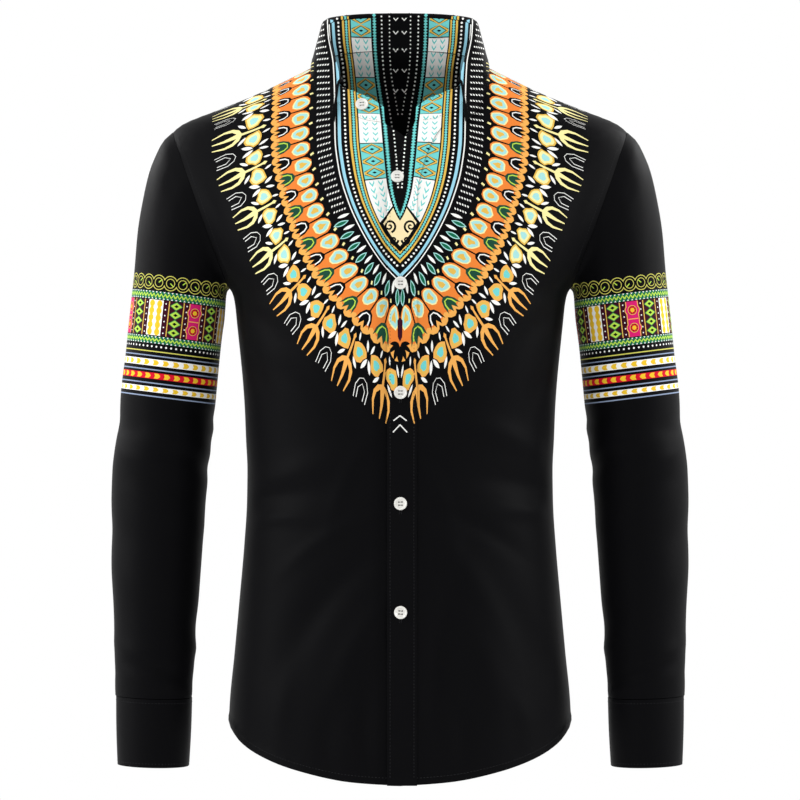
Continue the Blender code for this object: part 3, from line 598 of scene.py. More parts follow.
class ClothForm:
    """A smooth cloth surface, held as a fine grid of points with flat places in millimetres."""

    def __init__(self, points: Points, columns: Points, rows: Points, axis: tuple[float, float]) -> None:
        """Keep the grid and work out its outward directions.

        Args:
            points: the grid, row by row.
            columns: flat place of each column.
            rows: flat place of each row.
            axis: x and y of the upright line that the cloth is wrapped round.
        """
        self.points, self.columns, self.rows = points, columns, rows
        normals = np.cross(np.gradient(points, axis=1), np.gradient(points, axis=0))
        normals = unit(normals)
        away = points - np.array([axis[0], axis[1], 0])
        away[..., 2] = 0
        self.turned = bool(np.sum(normals * away) < 0)
        self.normals = -normals if self.turned else normals

    def index_of(self, p: Points, q: Points) -> tuple[Points, Points]:
        """Turn flat places into places of the grid, running on past its edges.

        Args:
            p: flat places along the rows.
            q: flat places along the columns.

        Returns:
            Row and column numbers with their fractions.
        """
        found = []
        for at, knots in ((q, self.rows), (p, self.columns)):
            i = np.clip(np.searchsorted(knots, at) - 1, 0, len(knots) - 2)
            found.append(i + (at - knots[i]) / (knots[i + 1] - knots[i]))
        return found[0], found[1]

    def read(self, grid: Points, p: Points, q: Points) -> Points:
        """Read a grid of vectors between its points.

        Args:
            grid: the grid.
            p: flat places along the rows.
            q: flat places along the columns.

        Returns:
            The vectors there.
        """
        row, col = self.index_of(p, q)
        i = np.clip(np.floor(row).astype(int), 0, grid.shape[0] - 2)
        j = np.clip(np.floor(col).astype(int), 0, grid.shape[1] - 2)
        f, g = (row - i)[..., None], (col - j)[..., None]
        low = grid[i, j] * (1 - g) + grid[i, j + 1] * g
        high = grid[i + 1, j] * (1 - g) + grid[i + 1, j + 1] * g
        return low * (1 - f) + high * f

    def place(self, p: Points, q: Points, lift: float = 0.0) -> tuple[Points, Points]:
        """Place flat places in space."""
        normal = unit(self.read(self.normals, p, q))
        return self.read(self.points, p, q) + normal * lift, normal

    def flat_from_view(self, x: Points, z: Points, keep: Points | None = None) -> tuple[Points, Points]:
        """Find the flat places that a front view shows at x and z.

        Args:
            x: places across.
            z: heights.
            keep: which grid points may be meant, as a mask.

        Returns:
            The flat places.
        """
        cols, rows = np.meshgrid(self.columns, self.rows)
        mask = np.ones(cols.shape, bool) if keep is None else keep
        known = self.points[mask][:, [0, 2]]
        tree = KDTree(len(known))
        for number, (across, up) in enumerate(known):
            tree.insert((across, up, 0), number)
        tree.balance()
        wanted = np.stack([np.atleast_1d(x), np.atleast_1d(z)], -1)
        nearest = [tree.find((across, up, 0))[1] for across, up in wanted]
        p, q = cols[mask][nearest].astype(float), rows[mask][nearest].astype(float)
        step = 0.5
        for _ in range(6):
            here = self.read(self.points, p, q)[:, [0, 2]]
            by_p = (self.read(self.points, p + step, q)[:, [0, 2]] - here) / step
            by_q = (self.read(self.points, p, q + step)[:, [0, 2]] - here) / step
            off = wanted - here
            area = by_p[:, 0] * by_q[:, 1] - by_p[:, 1] * by_q[:, 0]
            area = np.where(np.abs(area) < 0.05, 0.05 * np.sign(area + 1e-12), area)
            move_p = (off[:, 0] * by_q[:, 1] - off[:, 1] * by_q[:, 0]) / area
            move_q = (by_p[:, 0] * off[:, 1] - by_p[:, 1] * off[:, 0]) / area
            p = p + np.clip(move_p, -6, 6)
            q = q + np.clip(move_q, -6, 6)
        return p, q


class BodyForm(ClothForm):
    """The front or back of the body. Flat places are the arc length round the body and the height."""

    SPREAD = 241
    ROW_STEP = 3.0

    def __init__(self, torso: Torso, side: int, under: bool = False) -> None:
        """Lay the grid on the body.

        Args:
            torso: the body.
            side: -1 for the front, 1 for the back.
            under: True for the front that lies beneath at the opening.
        """
        self.torso = torso
        self.turns = np.linspace(-pi / 2, pi / 2, self.SPREAD)
        low, high = TORSO[-1].z, TORSO[0].z
        levels = np.linspace(low, high, round((high - low) / self.ROW_STEP))
        turn, level = np.meshgrid(self.turns, levels)
        points, _ = torso.place(torso.half_width(level) * np.sin(turn), level, side, under)
        super().__init__(points, self.turns, levels, (0.0, 0.0))
        plain = np.stack([torso.half_width(level) * np.sin(turn),
            torso.depth[side](level) * np.sqrt(1 - np.abs(np.sin(turn)) ** torso.squareness(level))], -1)
        steps = np.linalg.norm(np.diff(plain, axis=1), axis=-1)
        arc = np.concatenate([np.zeros((len(levels), 1)), np.cumsum(steps, 1)], 1)
        self.arc = arc - arc[:, self.SPREAD // 2][:, None]

    def arc_rows(self, z: Points) -> Points:
        """Give the arc length of every column at each height.

        Args:
            z: heights.

        Returns:
            A row of arc lengths for each height.
        """
        row = np.clip((z - self.rows[0]) / (self.rows[1] - self.rows[0]), 0, len(self.rows) - 1.001)
        i = row.astype(int)
        f = (row - i)[:, None]
        return self.arc[i] * (1 - f) + self.arc[i + 1] * f

    def index_of(self, p: Points, q: Points) -> tuple[Points, Points]:
        """Turn arc lengths and heights into places of the grid.

        Args:
            p: arc lengths from the middle.
            q: heights.

        Returns:
            Row and column numbers with their fractions.
        """
        arcs = self.arc_rows(q)
        j = np.clip((arcs < p[:, None]).sum(1) - 1, 0, self.SPREAD - 2)
        every = np.arange(len(p))
        start, end = arcs[every, j], arcs[every, j + 1]
        row = (q - self.rows[0]) / (self.rows[1] - self.rows[0])
        return row, j + np.clip((p - start) / np.maximum(end - start, 1e-9), 0, 1)

    def flat_from_view(self, x: Points, z: Points, keep: Points | None = None) -> tuple[Points, Points]:
        """Find the flat places that a front view shows at x and z.

        Args:
            x: places across.
            z: heights.
            keep: not used here.

        Returns:
            Arc lengths and heights.
        """
        x, z = np.atleast_1d(x).astype(float), np.atleast_1d(z).astype(float)
        turn = np.arcsin(np.clip(x / self.torso.half_width(z), -1, 1))
        col = (turn + pi / 2) / pi * (self.SPREAD - 1)
        j = np.clip(col.astype(int), 0, self.SPREAD - 2)
        arcs, every = self.arc_rows(z), np.arange(len(x))
        beyond = np.sign(x) * np.maximum(np.abs(x) - self.torso.half_width(z), 0)
        return arcs[every, j] * (1 - (col - j)) + arcs[every, j + 1] * (col - j) + beyond, z


def inside(points: Points, outline: Points) -> Points:
    """Tell which points lie inside a closed outline.

    Args:
        points: the points.
        outline: its corners.

    Returns:
        A mask.
    """
    found = np.zeros(len(points), bool)
    after = np.roll(outline, -1, 0)
    for (x1, y1), (x2, y2) in zip(outline, after):
        if y1 == y2:
            continue
        crosses = (points[:, 1] > y1) != (points[:, 1] > y2)
        at = x1 + (points[:, 1] - y1) / (y2 - y1) * (x2 - x1)
        found ^= crosses & (points[:, 0] < at)
    return found


def edge_distance(points: Points, outline: Points) -> Points:
    """Measure how far points lie from a closed outline.

    Args:
        points: the points.
        outline: its corners.

    Returns:
        The distances.
    """
    nearest = np.full(len(points), np.inf)
    for start, end in zip(outline, np.roll(outline, -1, 0)):
        way = end - start
        share = np.clip(((points - start) @ way) / max(way @ way, 1e-12), 0, 1)
        nearest = np.minimum(nearest, np.linalg.norm(points - start - share[:, None] * way, axis=1))
    return nearest


@dataclass
class Sheet:
    """One cut piece of cloth: its form, its flat outline, its wall and the print on each side."""

    name: str
    form: ClothForm
    outline: Points
    wall: float
    spacing: float = 4.5
    lift: float = 0.0
    prints: dict[Skin, list[Patch]] = field(default_factory=dict)
    outside_count: int = 0

    def grid(self) -> Points:
        """Spread the inner points of the cloth.

        Returns:
            Flat places at even distances inside the outline.
        """
        low, high = self.outline.min(0), self.outline.max(0)
        across = np.arange(low[0] + self.spacing / 2, high[0], self.spacing)
        up = np.arange(low[1] + self.spacing / 2, high[1], self.spacing)
        places = np.stack(np.meshgrid(across, up), -1).reshape(-1, 2)
        places[:, 0] += 0.013 * np.sin(places[:, 1])
        places = places[inside(places, self.outline)]
        return places[edge_distance(places, self.outline) > self.spacing * 0.45]

    def cut(self) -> tuple[Points, Points, dict[Skin, Points]]:
        """Cut the flat cloth into triangles along every edge of the print.

        Returns:
            The flat corners, the triangles, and each triangle's colour number on each side.
        """
        loops = [self.outline] + [patch.corners for patches in self.prints.values() for patch in patches]
        corners, edges = [], []
        for loop in loops:
            start, count = len(corners), len(loop)
            corners += [tuple(place) for place in loop]
            edges += [(start + i, start + (i + 1) % count) for i in range(count)]
        corners += [tuple(place) for place in self.grid()]
        flat, _, triangles, _, _, _ = delaunay_2d_cdt(corners, edges, [], 0, 0.01, False)
        flat, triangles = np.array([tuple(place) for place in flat]), np.array(triangles)
        middles = flat[triangles].mean(1)
        kept = inside(middles, self.outline)
        triangles, middles = triangles[kept], middles[kept]
        order = np.argsort(middles[:, 0])
        triangles, middles = triangles[order], middles[order]
        colours = {skin: np.zeros(len(triangles), int) for skin in Skin}
        for skin, patches in self.prints.items():
            for patch in patches:
                low, high = patch.corners.min(0), patch.corners.max(0)
                first, last = np.searchsorted(middles[:, 0], (low[0], high[0]))
                near = middles[first:last]
                found = (near[:, 1] >= low[1]) & (near[:, 1] <= high[1]) & inside(near, patch.corners)
                colours[skin][first:last][found] = list(Dye).index(patch.dye)
        return flat, triangles, colours

    def build(self) -> bpy.types.Object:
        """Make the closed wall of cloth with its colours.

        Returns:
            The object, which rides on the garment's one body.
        """
        flat, triangles, colours = self.cut()
        used = np.unique(triangles)
        renumber = np.full(len(flat), -1)
        renumber[used] = np.arange(len(used))
        flat, triangles = flat[used], renumber[triangles]
        outer, out = self.form.place(flat[:, 0], flat[:, 1], self.lift)
        inner = outer - out * self.wall
        count = len(flat)
        if self.form.turned:
            triangles = triangles[:, ::-1]
        self.outside_count = len(triangles)
        edges = np.concatenate([triangles[:, [0, 1]], triangles[:, [1, 2]], triangles[:, [2, 0]]])
        known = set(map(tuple, edges))
        rim = [(a, b) for a, b in known if (b, a) not in known]
        back_faces = triangles[:, ::-1] + count
        rim_faces = [(b, a, a + count, b + count) for a, b in rim]
        mesh = bpy.data.meshes.new(self.name)
        faces = triangles.tolist() + back_faces.tolist() + rim_faces
        mesh.from_pydata(np.concatenate([outer, inner]) * MM, [], faces)
        dyes = np.concatenate([colours[Skin.OUTSIDE], colours[Skin.INSIDE], np.zeros(len(rim_faces), int)])
        used, slots = np.unique(dyes, return_inverse=True)
        for number in used:
            mesh.materials.append(PrintedCotton(list(Dye)[number]).material())
        mesh.polygons.foreach_set("material_index", slots.astype(np.int32))
        mesh.polygons.foreach_set("use_smooth", [True] * len(faces))
        corner_of = np.zeros(len(mesh.loops), np.int32)
        mesh.loops.foreach_get("vertex_index", corner_of)
        layer = mesh.uv_layers.new(name="cloth")
        layer.data.foreach_set("uv", (flat[corner_of % count] * MM).astype(np.float32).ravel())
        normals = np.concatenate([out, -out])[corner_of]
        first = 6 * len(triangles)
        for number, (a, b) in enumerate(rim):
            normals[first + 4 * number : first + 4 * number + 4] = unit(np.cross(outer[b] - outer[a], out[a]))
        mesh.normals_split_custom_set(normals.tolist())
        made = bpy.data.objects.new(self.name, mesh)
        bpy.context.scene.collection.objects.link(made)
        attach(made, "root")
        return made


class Station(NamedTuple):
    """One place along the neck bands: where each band's edge runs, from the throat outwards."""

    throat: Place
    line: Place
    ring: Place
    petals: Place
    sprays: Place


def station(*edges: float) -> Station:
    """Gather a station from x and z of each edge, from the throat outwards."""
    return Station(*map(Place, edges[::2], edges[1::2]))


NECK_STATIONS = fill(station, [
    (25, 66, 75, 66, 98, 62, 132, 58, 196, 40), (24.5, 36, 73, 36, 94, 33, 130, 24, 194, 0),
    (22, 5, 67.5, 5, 92, 4, 130, -14, 191, -37), (17.5, -25.7, 65.9, -26.7, 92.3, -28, 129.8, -40, 190, -62),
    (13.6, -54, 65.5, -52, 93, -56, 130.3, -67, 189.5, -90),
    (11.8, -72, 65, -74, 92, -82, 129, -94, 182, -120),
    (9.3, -100, 61.1, -104.1, 87.5, -114, 121.5, -128, 168, -152),
    (7, -124, 51, -138.6, 76, -148, 110, -166, 150, -196),
    (3.8, -139, 32.1, -177.6, 52, -192, 88, -212, 124, -250),
    (1.2, -147, 14, -203.5, 24, -227, 50, -256, 74, -310),
    (0, -149.5, 0, -218.1, 0, -247.7, 0, -300, 0, -369),
])
BACK_STATIONS = fill(station, [
    (60, 40, 67.5, 25, 92, 14, 130, -6, 191, -32), (56, 38, 64, 16, 88, -2, 122, -30, 174, -66),
    (44, 36, 50, 6, 66, -16, 92, -52, 130, -104), (22, 34, 26, 0, 34, -24, 48, -66, 68, -128),
    (0, 33, 0, -2, 0, -27, 0, -71, 0, -136),
])


FINE_STEPS = 600
COARSE_STEPS = 400
PANEL_MIDDLE = 0.67
CUFF_MIDDLE_Y = -23.5
CUFF_MIDDLE_X = 250.0


class Band:
    """A band of the print between two guide lines, with places along it and across it."""

    def __init__(self, stations: list[Station], inner: str, outer: str,
            form: ClothForm | None = None) -> None:
        """Fit the guide lines.

        Args:
            stations: the table of stations.
            inner: name of the guide where the place across is 0.
            outer: name of the guide where the place across is 1.
            form: the cloth on which lengths are measured; without one they are measured in the view.
        """
        self.form = form
        number = np.arange(len(stations))
        self.last = len(stations) - 1
        self.guides = [[Curve(number, [getattr(getattr(station, name), axis) for station in stations])
            for axis in ("x", "z")] for name in (inner, outer)]

    def at(self, along: Points, across: Points) -> Points:
        """Give flat places of the view.

        Args:
            along: station numbers.
            across: shares from the inner to the outer guide.

        Returns:
            The places, x and z.
        """
        start, end = [np.stack([curve(along) for curve in guide], -1) for guide in self.guides]
        share = np.asarray(across, float)[..., None]
        return start * (1 - share) + end * share

    def spaced(self, pitch: float, across: float, first: float, last: float) -> Points:
        """Divide the band into even cells.

        Args:
            pitch: wanted length of a cell.
            across: where across the band the length is measured.
            first: station number where the cells start.
            last: station number where they end.

        Returns:
            Station numbers of the cells' ends.
        """
        fine = np.linspace(first, last, COARSE_STEPS)
        line = self.at(fine, np.full(COARSE_STEPS, across))
        if self.form is not None:
            line = self.form.read(self.form.points, *self.form.flat_from_view(line[:, 0], line[:, 1]))
        length = run_along(line)
        count = max(round(length[-1] / pitch), 1)
        return np.interp(np.linspace(0, length[-1], count + 1), length, fine)

    def cell(self, shape: Points, start: float, end: float) -> Points:
        """Bend a shape into one cell."""
        return self.at(start + (shape[:, 0] + 0.5) * (end - start), shape[:, 1])

    def ribbon(self, start: float, end: float, low: float, high: float, step: float = 5.0) -> list[Points]:
        """Cut a plain stripe of the band into short pieces.

        Args:
            start: station number where it starts.
            end: station number where it ends.
            low: its inner edge across the band.
            high: its outer edge across the band.
            step: length of a piece.

        Returns:
            The pieces.
        """
        ends = self.spaced(step, (low + high) / 2, start, end)
        square = np.array([(-0.5, low), (0.5, low), (0.5, high), (-0.5, high)])
        return [self.cell(square, a, b) for a, b in pairwise(ends)]


def oval(x: float, y: float, wide: float, high: float, sides: int = 12, wobble: float = 0.0,
        phase: float = 0.0) -> Points:
    """Draw an oval, or a pebble when it wobbles.

    Args:
        x: middle along.
        y: middle across.
        wide: half size along.
        high: half size across.
        sides: number of corners.
        wobble: how uneven its outline is.
        phase: where its bumps stand.

    Returns:
        The corners.
    """
    turn = np.arange(sides) / sides * 2 * pi
    size = 1 + wobble * np.cos(3 * turn + phase) + 0.6 * wobble * np.sin(5 * turn + 2 * phase)
    return np.stack([x + wide * size * np.cos(turn), y + high * size * np.sin(turn)], -1)


def leaf(start: tuple[float, float], end: tuple[float, float], width: float) -> Points:
    """Draw a pointed leaf.

    Args:
        start: its stalk.
        end: its tip.
        width: its full width at the middle.

    Returns:
        The corners.
    """
    a, b = np.array(start), np.array(end)
    way = b - a
    side = np.array([-way[1], way[0]]) / max(np.hypot(*way), 1e-9)
    share = np.linspace(0, 1, 6)
    middle = a + share[:, None] * way
    half = (width / 2 * np.sin(pi * share) ** 0.8)[:, None] * side
    return np.concatenate([middle + half, (middle - half)[-2:0:-1]])


def stroke(path: list[tuple[float, float]], width: float, taper: float = 1.0, stretch: float = 1.0) -> Points:
    """Draw a line of even or narrowing width.

    Args:
        path: the line's points.
        width: its full width at the start.
        taper: share of the width that is left at its end.
        stretch: real length of a unit across, in units along, so that the width stays even.

    Returns:
        The corners.
    """
    line = np.array(path, float) * (1, stretch)
    way = unit(np.gradient(line, axis=0))
    half = width / 2 * np.linspace(1, taper, len(line))[:, None]
    side = np.stack([-way[:, 1], way[:, 0]], -1) * half
    return np.concatenate([line + side, (line - side)[::-1]]) / (1, stretch)


def shape(*corners: tuple[float, float]) -> Points:
    """Gather corners into one array."""
    return np.array(corners, float)


@dataclass
class Print:
    """A print, laid down shape by shape, so that later shapes cover earlier ones."""

    patches: list[Patch] = field(default_factory=list, kw_only=True)

    def add(self, corners: Points, dye: Dye) -> None:
        """Lay one more shape of one colour over those that are there."""
        self.patches.append(Patch(corners, dye))

    def add_all(self, pieces: list[Points], dye: Dye) -> None:
        """Lay several shapes of one colour."""
        self.patches += [Patch(corners, dye) for corners in pieces]


@dataclass
class NeckPrint(Print):
    """The bands of the neck print for the wearer's left half, in the view's millimetres."""

    stations: list[Station]
    form: ClothForm | None = None
    tick_pitch: float = 6.4
    petal_pitch: float = 17.5
    spray_pitch: float = 45.0
    dot_pitch: float = 4.1

    def mirrored(self) -> list[Patch]:
        """Give the print for both halves."""
        return [twin for patch in self.patches for twin in (patch, Patch(patch.corners * (-1, 1), patch.dye))]

    def throat_bands(self, first: float) -> None:
        """Draw the stripes and panels between the throat and the white line.

        Args:
            first: station number where they start.
        """
        band = Band(self.stations, "line", "throat")
        last = band.last
        stripes = [(0.055, 0.115, Dye.LIGHT_BLUE), (0.275, 0.318, Dye.OCHRE), (0.33, 0.392, Dye.TURQUOISE),
            (0.404, 0.436, Dye.OCHRE), (0.918, 1.0, Dye.TURQUOISE)]
        for low, high, dye in stripes:
            self.add_all(band.ribbon(first, last, low, high), dye)
        for low, high, pitch in ((0.33, 0.392, 2.7), (0.918, 1.0, 3.0)):
            ends = band.spaced(pitch, (low + high) / 2, first, last)
            for a, b in pairwise(ends):
                middle = (low + high) / 2
                self.add(band.cell(shape((-0.5, low), (0.5, low), (0.0, middle - 0.006)), a, b), Dye.BLACK)
                self.add(band.cell(shape((-0.42, high), (0.0, middle + 0.012), (0.42, high)), a, b),
                    Dye.BLACK)
        for across, radius in ((0.196, 1.15), (1.115, 0.95), (1.28, 0.8)):
            for at in band.spaced(self.dot_pitch, min(across, 1.0), first, last - 0.25):
                x, z = band.at(np.array([at]), np.array([across]))[0]
                if x > 1.5:
                    self.add(oval(x, z, radius, radius, 8), Dye.WHITE)

    def panels(self, rows: list[tuple[float, float, bool]]) -> None:
        """Draw the alternating panels beside the throat.

        Args:
            rows: upper and lower height of each panel, and whether it is a lattice.
        """
        band = Band(self.stations, "line", "throat")
        fine = np.linspace(0, band.last, FINE_STEPS)
        heights = band.at(fine, np.full(FINE_STEPS, PANEL_MIDDLE))[:, 1]
        low, high = 0.462, 0.888
        for upper, lower, lattice in rows:
            a, b = np.interp([-upper, -lower], -heights, fine)
            ground = Dye.TURQUOISE if lattice else Dye.WHITE
            self.add_all(band.ribbon(a, b, low, high), ground)
            if lattice:
                self.lattice(band, a, b, low, high, max(round((upper - lower) / 13), 1))
                continue
            count = max(round((upper - lower) / 6.4), 2)
            for row in range(count):
                at = (row + 0.5) / count - 0.5
                for middle in (0.585, 0.765):
                    chevron = shape((at - 0.06, middle - 0.05), (at + 0.035, middle),
                        (at - 0.06, middle + 0.05), (at, middle + 0.05), (at + 0.095, middle),
                        (at, middle - 0.05))
                    self.add(band.cell(chevron, a, b), Dye.TURQUOISE)

    def lattice(self, band: Band, start: float, end: float, low: float, high: float, count: int) -> None:
        """Draw crossing yellow bars over a panel.

        Args:
            band: the band of the panel.
            start: station number of its start.
            end: station number of its end.
            low: its inner edge across the band.
            high: its outer edge across the band.
            count: number of diamonds along it.
        """
        middle, reach = (low + high) / 2, (high - low) / 2
        ends = np.linspace(start, end, count + 1)
        for a, b in pairwise(ends):
            for width, dye in ((0.30, Dye.BLACK), (0.17, Dye.OCHRE)):
                for way in (1, -1):
                    for from_x, to_x in ((-0.5, 0.0), (0.5, 0.0)):
                        bar = shape((from_x - width / 2, middle), (from_x + width / 2, middle),
                            (to_x + width / 2, middle + way * reach * 0.94),
                            (to_x - width / 2, middle + way * reach * 0.94))
                        bar[:, 0] = np.clip(bar[:, 0], -0.5, 0.5)
                        self.add(band.cell(bar, a, b), dye)
            self.add(band.cell(oval(0, middle, 0.10, reach * 0.22, 4), a, b), Dye.BLACK)

    def scrolls(self) -> None:
        """Draw the cream scroll panel at the tip of the throat bands."""
        band = Band(self.stations, "line", "throat")
        fine = np.linspace(0, band.last, FINE_STEPS)
        start = float(np.interp(153.0, -band.at(fine, np.full(FINE_STEPS, PANEL_MIDDLE))[:, 1], fine))
        self.add_all(band.ribbon(start, band.last, 0.52, 0.888), Dye.CREAM)
        for x, z, radius, turns, way in ((10.5, -162.5, 6.6, 1.7, 1), (6.2, -176.5, 4.6, 1.5, -1)):
            turn = np.linspace(0.6, turns * 2 * pi, 26)
            size = radius * turn / turn[-1]
            spiral = [(x + s * cos(t), z + way * s * sin(t)) for s, t in zip(size, turn)]
            self.add(stroke(spiral, 1.4, 1.6), Dye.BLACK)
        for z, half in ((-183.5, 8.0), (-187.5, 5.5)):
            zigzag = [(half * i / 4, z + (2.2 if i % 2 else 0.0)) for i in range(5)]
            self.add(stroke(zigzag, 1.0), Dye.BLACK)

    def ticks(self, first: float, leaves_from: float) -> None:
        """Draw the white line and the rays outside it, which turn into leaves.

        Args:
            first: station number where they start.
            leaves_from: station number where the rays turn into leaves.
        """
        band = Band(self.stations, "line", "ring")
        self.add_all(band.ribbon(first, band.last, -0.022, 0.022), Dye.WHITE)
        ends = band.spaced(self.tick_pitch, 0.45, first, band.last)
        for number, (a, b) in enumerate(pairwise(ends)):
            if a < leaves_from:
                for tick in range(5):
                    low = 0.17 + 0.105 * tick
                    bar = shape((-0.17, low), (0.08, low + 0.02), (0.17, low + 0.085), (-0.08, low + 0.065))
                    self.add(band.cell(bar, a, b), Dye.WHITE)
            else:
                if number % 2:
                    self.add(band.cell(leaf((0, 0.26), (0, 0.9), 0.8), a, b), Dye.PALE_TURQUOISE)
                    self.add(band.cell(leaf((0, 0.32), (0, 0.84), 0.5), a, b), Dye.DEEP_GREEN)
                else:
                    self.add(band.cell(leaf((0, 0.12), (0, 0.62), 0.5), a, b), Dye.WHITE)

    def petals(self, first: float, green_from: float) -> None:
        """Draw the orange ring with its drops and tulips.

        Args:
            first: station number where it starts.
            green_from: station number where every other tulip is green.
        """
        band = Band(self.stations, "ring", "petals", self.form)
        rays = Band(self.stations, "line", "ring")
        ends = band.spaced(self.petal_pitch, 0.35, first, band.last)
        dome = [(0.46, 0.14), (0.36, 0.03), (0.16, -0.05), (-0.16, -0.05), (-0.36, 0.03), (-0.46, 0.14)]
        scallops = [(-0.5, 0.88), (-0.42, 0.96), (-0.27, 1.0), (-0.1, 0.96), (0.0, 0.89), (0.1, 0.96),
            (0.27, 1.0), (0.42, 0.96), (0.5, 0.88)]
        ground = shape(*dome, (-0.5, 0.3), *scallops, (0.5, 0.3))
        rim = shape((-0.5, 0.74), *scallops, (0.5, 0.74), (0.27, 0.84), (0.0, 0.74), (-0.27, 0.84))
        tulip = shape((-0.4, 0.86), (-0.37, 0.66), (-0.22, 0.5), (0.0, 0.44), (0.22, 0.5), (0.37, 0.66),
            (0.4, 0.86), (0.25, 0.72), (0.14, 0.9), (0.0, 0.74), (-0.14, 0.9), (-0.25, 0.72))
        vein = stroke([(-0.26, 0.78), (-0.22, 0.64), (-0.1, 0.55), (0.1, 0.55), (0.22, 0.64), (0.26, 0.78)],
            0.07, 1, 2.4)
        for a, b in pairwise(ends):
            self.add(band.cell(ground, a, b), Dye.ORANGE)
            self.add(band.cell(rim, a, b), Dye.LIGHT_ORANGE)
        for number, (a, b) in enumerate(pairwise(ends)):
            phase = 1.7 * number
            self.add(band.cell(oval(0, 0.2, 0.38, 0.235, 12, 0.07, phase), a, b), Dye.PALE_YELLOW)
            self.add(band.cell(oval(0, 0.2, 0.32, 0.195, 12, 0.1, phase), a, b), Dye.PALE_TURQUOISE)
            self.add(band.cell(oval(0, 0.2, 0.17, 0.11, 8, 0.25, phase), a, b), Dye.OCHRE)
            half = (b - a) / 2
            if number + 2 < len(ends):
                a, b = a + half, b + half
                line = shape((-0.055, -0.06), (0.055, -0.06), (0.04, 0.46), (-0.04, 0.46))
                self.add(band.cell(line, a, b), Dye.BLACK)
                green = a > green_from and number % 2 == 0
                self.add(band.cell(tulip, a, b), Dye.DARK_GREEN if green else Dye.BLACK)
                self.add(band.cell(vein, a, b), Dye.LIME if green else Dye.WHITE)
                tick = shape((-0.1, 0.83), (0.02, 0.80), (0.1, 0.93), (-0.02, 0.95))
                self.add(rays.cell(tick, a, b), Dye.PALE_YELLOW)

    def tip(self) -> None:
        """Draw the dark leaves and the flame at the tip of the orange ring."""
        for tip_x, tip_z in ((1.0, -298.0), (6.0, -296.0), (11.0, -288.0), (10.0, -279.0)):
            self.add(leaf((1.5, -278.0), (tip_x, tip_z), 4.2), Dye.BLACK)
        self.add(shape((0.0, -252.0), (2.6, -256.0), (2.2, -272.0), (0.0, -277.0)), Dye.MAROON)
        self.add(stroke([(0.0, -350.0), (6.5, -355.0)], 1.1), Dye.WHITE)
        self.add(stroke([(0.0, -359.0), (7.0, -366.5)], 1.1), Dye.WHITE)

    def sprays(self, first: float, orange_from: float) -> None:
        """Draw the forks, pebbles and white leaves of the outermost band.

        Args:
            first: station number where it starts.
            orange_from: station number where the forks turn orange.
        """
        band = Band(self.stations, "petals", "sprays", self.form)
        ends = band.spaced(self.spray_pitch, 0.5, first, band.last)
        even = 1.45
        prongs = [stroke([(0.0, 0.53), (-0.1, 0.56), (-0.18, 0.65), (-0.2, 0.79), (-0.15, 1.0)], 0.13, 0.15,
            even), stroke([(0.0, 0.53), (0.1, 0.56), (0.18, 0.65), (0.2, 0.79), (0.15, 1.0)], 0.13, 0.15,
            even), stroke([(0.0, 0.5), (0.012, 0.65), (0.02, 0.8), (0.0, 1.0)], 0.13, 0.15, even),
            stroke([(0.0, 0.1), (0.008, 0.3), (0.0, 0.56)], 0.045, 1.3, even),
            shape((-0.045, 0.12), (0.0, 0.07), (0.045, 0.12), (0.02, 0.17), (-0.02, 0.17))]
        arches = [stroke([(-0.13, 0.96), (-0.15, 0.76), (-0.09, 0.64), (0.0, 0.6), (0.09, 0.64),
            (0.15, 0.76), (0.13, 0.96)], 0.014, 1, even),
            stroke([(-0.07, 0.94), (-0.08, 0.78), (0.0, 0.69), (0.08, 0.78), (0.07, 0.94)], 0.014, 1, even)]
        leaves = [((0.38, 0.03), (0.46, 0.2), 0.065), ((-0.38, 0.03), (-0.46, 0.2), 0.065),
            ((0.48, 0.3), (0.37, 0.5), 0.08), ((-0.48, 0.3), (-0.37, 0.5), 0.08),
            ((0.12, 0.42), (0.27, 0.56), 0.06), ((-0.12, 0.42), (-0.27, 0.56), 0.06),
            ((0.12, 0.0), (0.16, 0.14), 0.05), ((-0.12, 0.0), (-0.16, 0.14), 0.05)]
        pebbles = {True: (Dye.LIGHT_ORANGE, Dye.OCHRE, Dye.TURQUOISE),
            False: (Dye.OCHRE, Dye.PALE_YELLOW, Dye.PALE_TURQUOISE)}
        for number, (a, b) in enumerate(pairwise(ends)):
            gold = Dye.LIGHT_ORANGE if a > orange_from else Dye.PALE_YELLOW
            for side in (-1, 1):
                phase = 2.1 * number + side
                dyes = pebbles[a > orange_from]
                for size, dye in zip((1.0, 0.8, 0.48), dyes):
                    pebble = oval(0.245 * side, 0.29, 0.19 * size, 0.155 * size, 12, 0.12, phase)
                    self.add(band.cell(pebble, a, b), dye)
            for start, end, width in leaves:
                self.add(band.cell(leaf(start, end, width), a, b), Dye.WHITE)
            for prong in prongs:
                self.add(band.cell(prong, a, b), gold)
            half = (b - a) / 2
            if number + 2 < len(ends):
                for arch in arches:
                    self.add(band.cell(arch, a + half, b + half), Dye.WHITE)


def to_flat(form: ClothForm, patches: list[Patch], keep: Points | None = None,
        reach: float = 3.0) -> list[Patch]:
    """Bring patches of the view onto a cloth's flat places.

    Args:
        form: the cloth.
        patches: the patches in the view's millimetres.
        keep: which of the cloth's grid points may be meant, as a mask.
        reach: how far a corner may fall beside the cloth before its patch is left out.

    Returns:
        The patches that lie on the cloth.
    """
    if not patches:
        return []
    every = np.concatenate([patch.corners for patch in patches])
    p, q = form.flat_from_view(every[:, 0], every[:, 1], keep)
    flat = np.stack([p, q], -1)
    seen = form.read(form.points, p, q)[:, [0, 2]]
    beside = np.linalg.norm(seen - every, axis=1)
    found, start = [], 0
    for patch in patches:
        end = start + len(patch.corners)
        if beside[start:end].max() < reach:
            found.append(Patch(flat[start:end], patch.dye))
        start = end
    return found


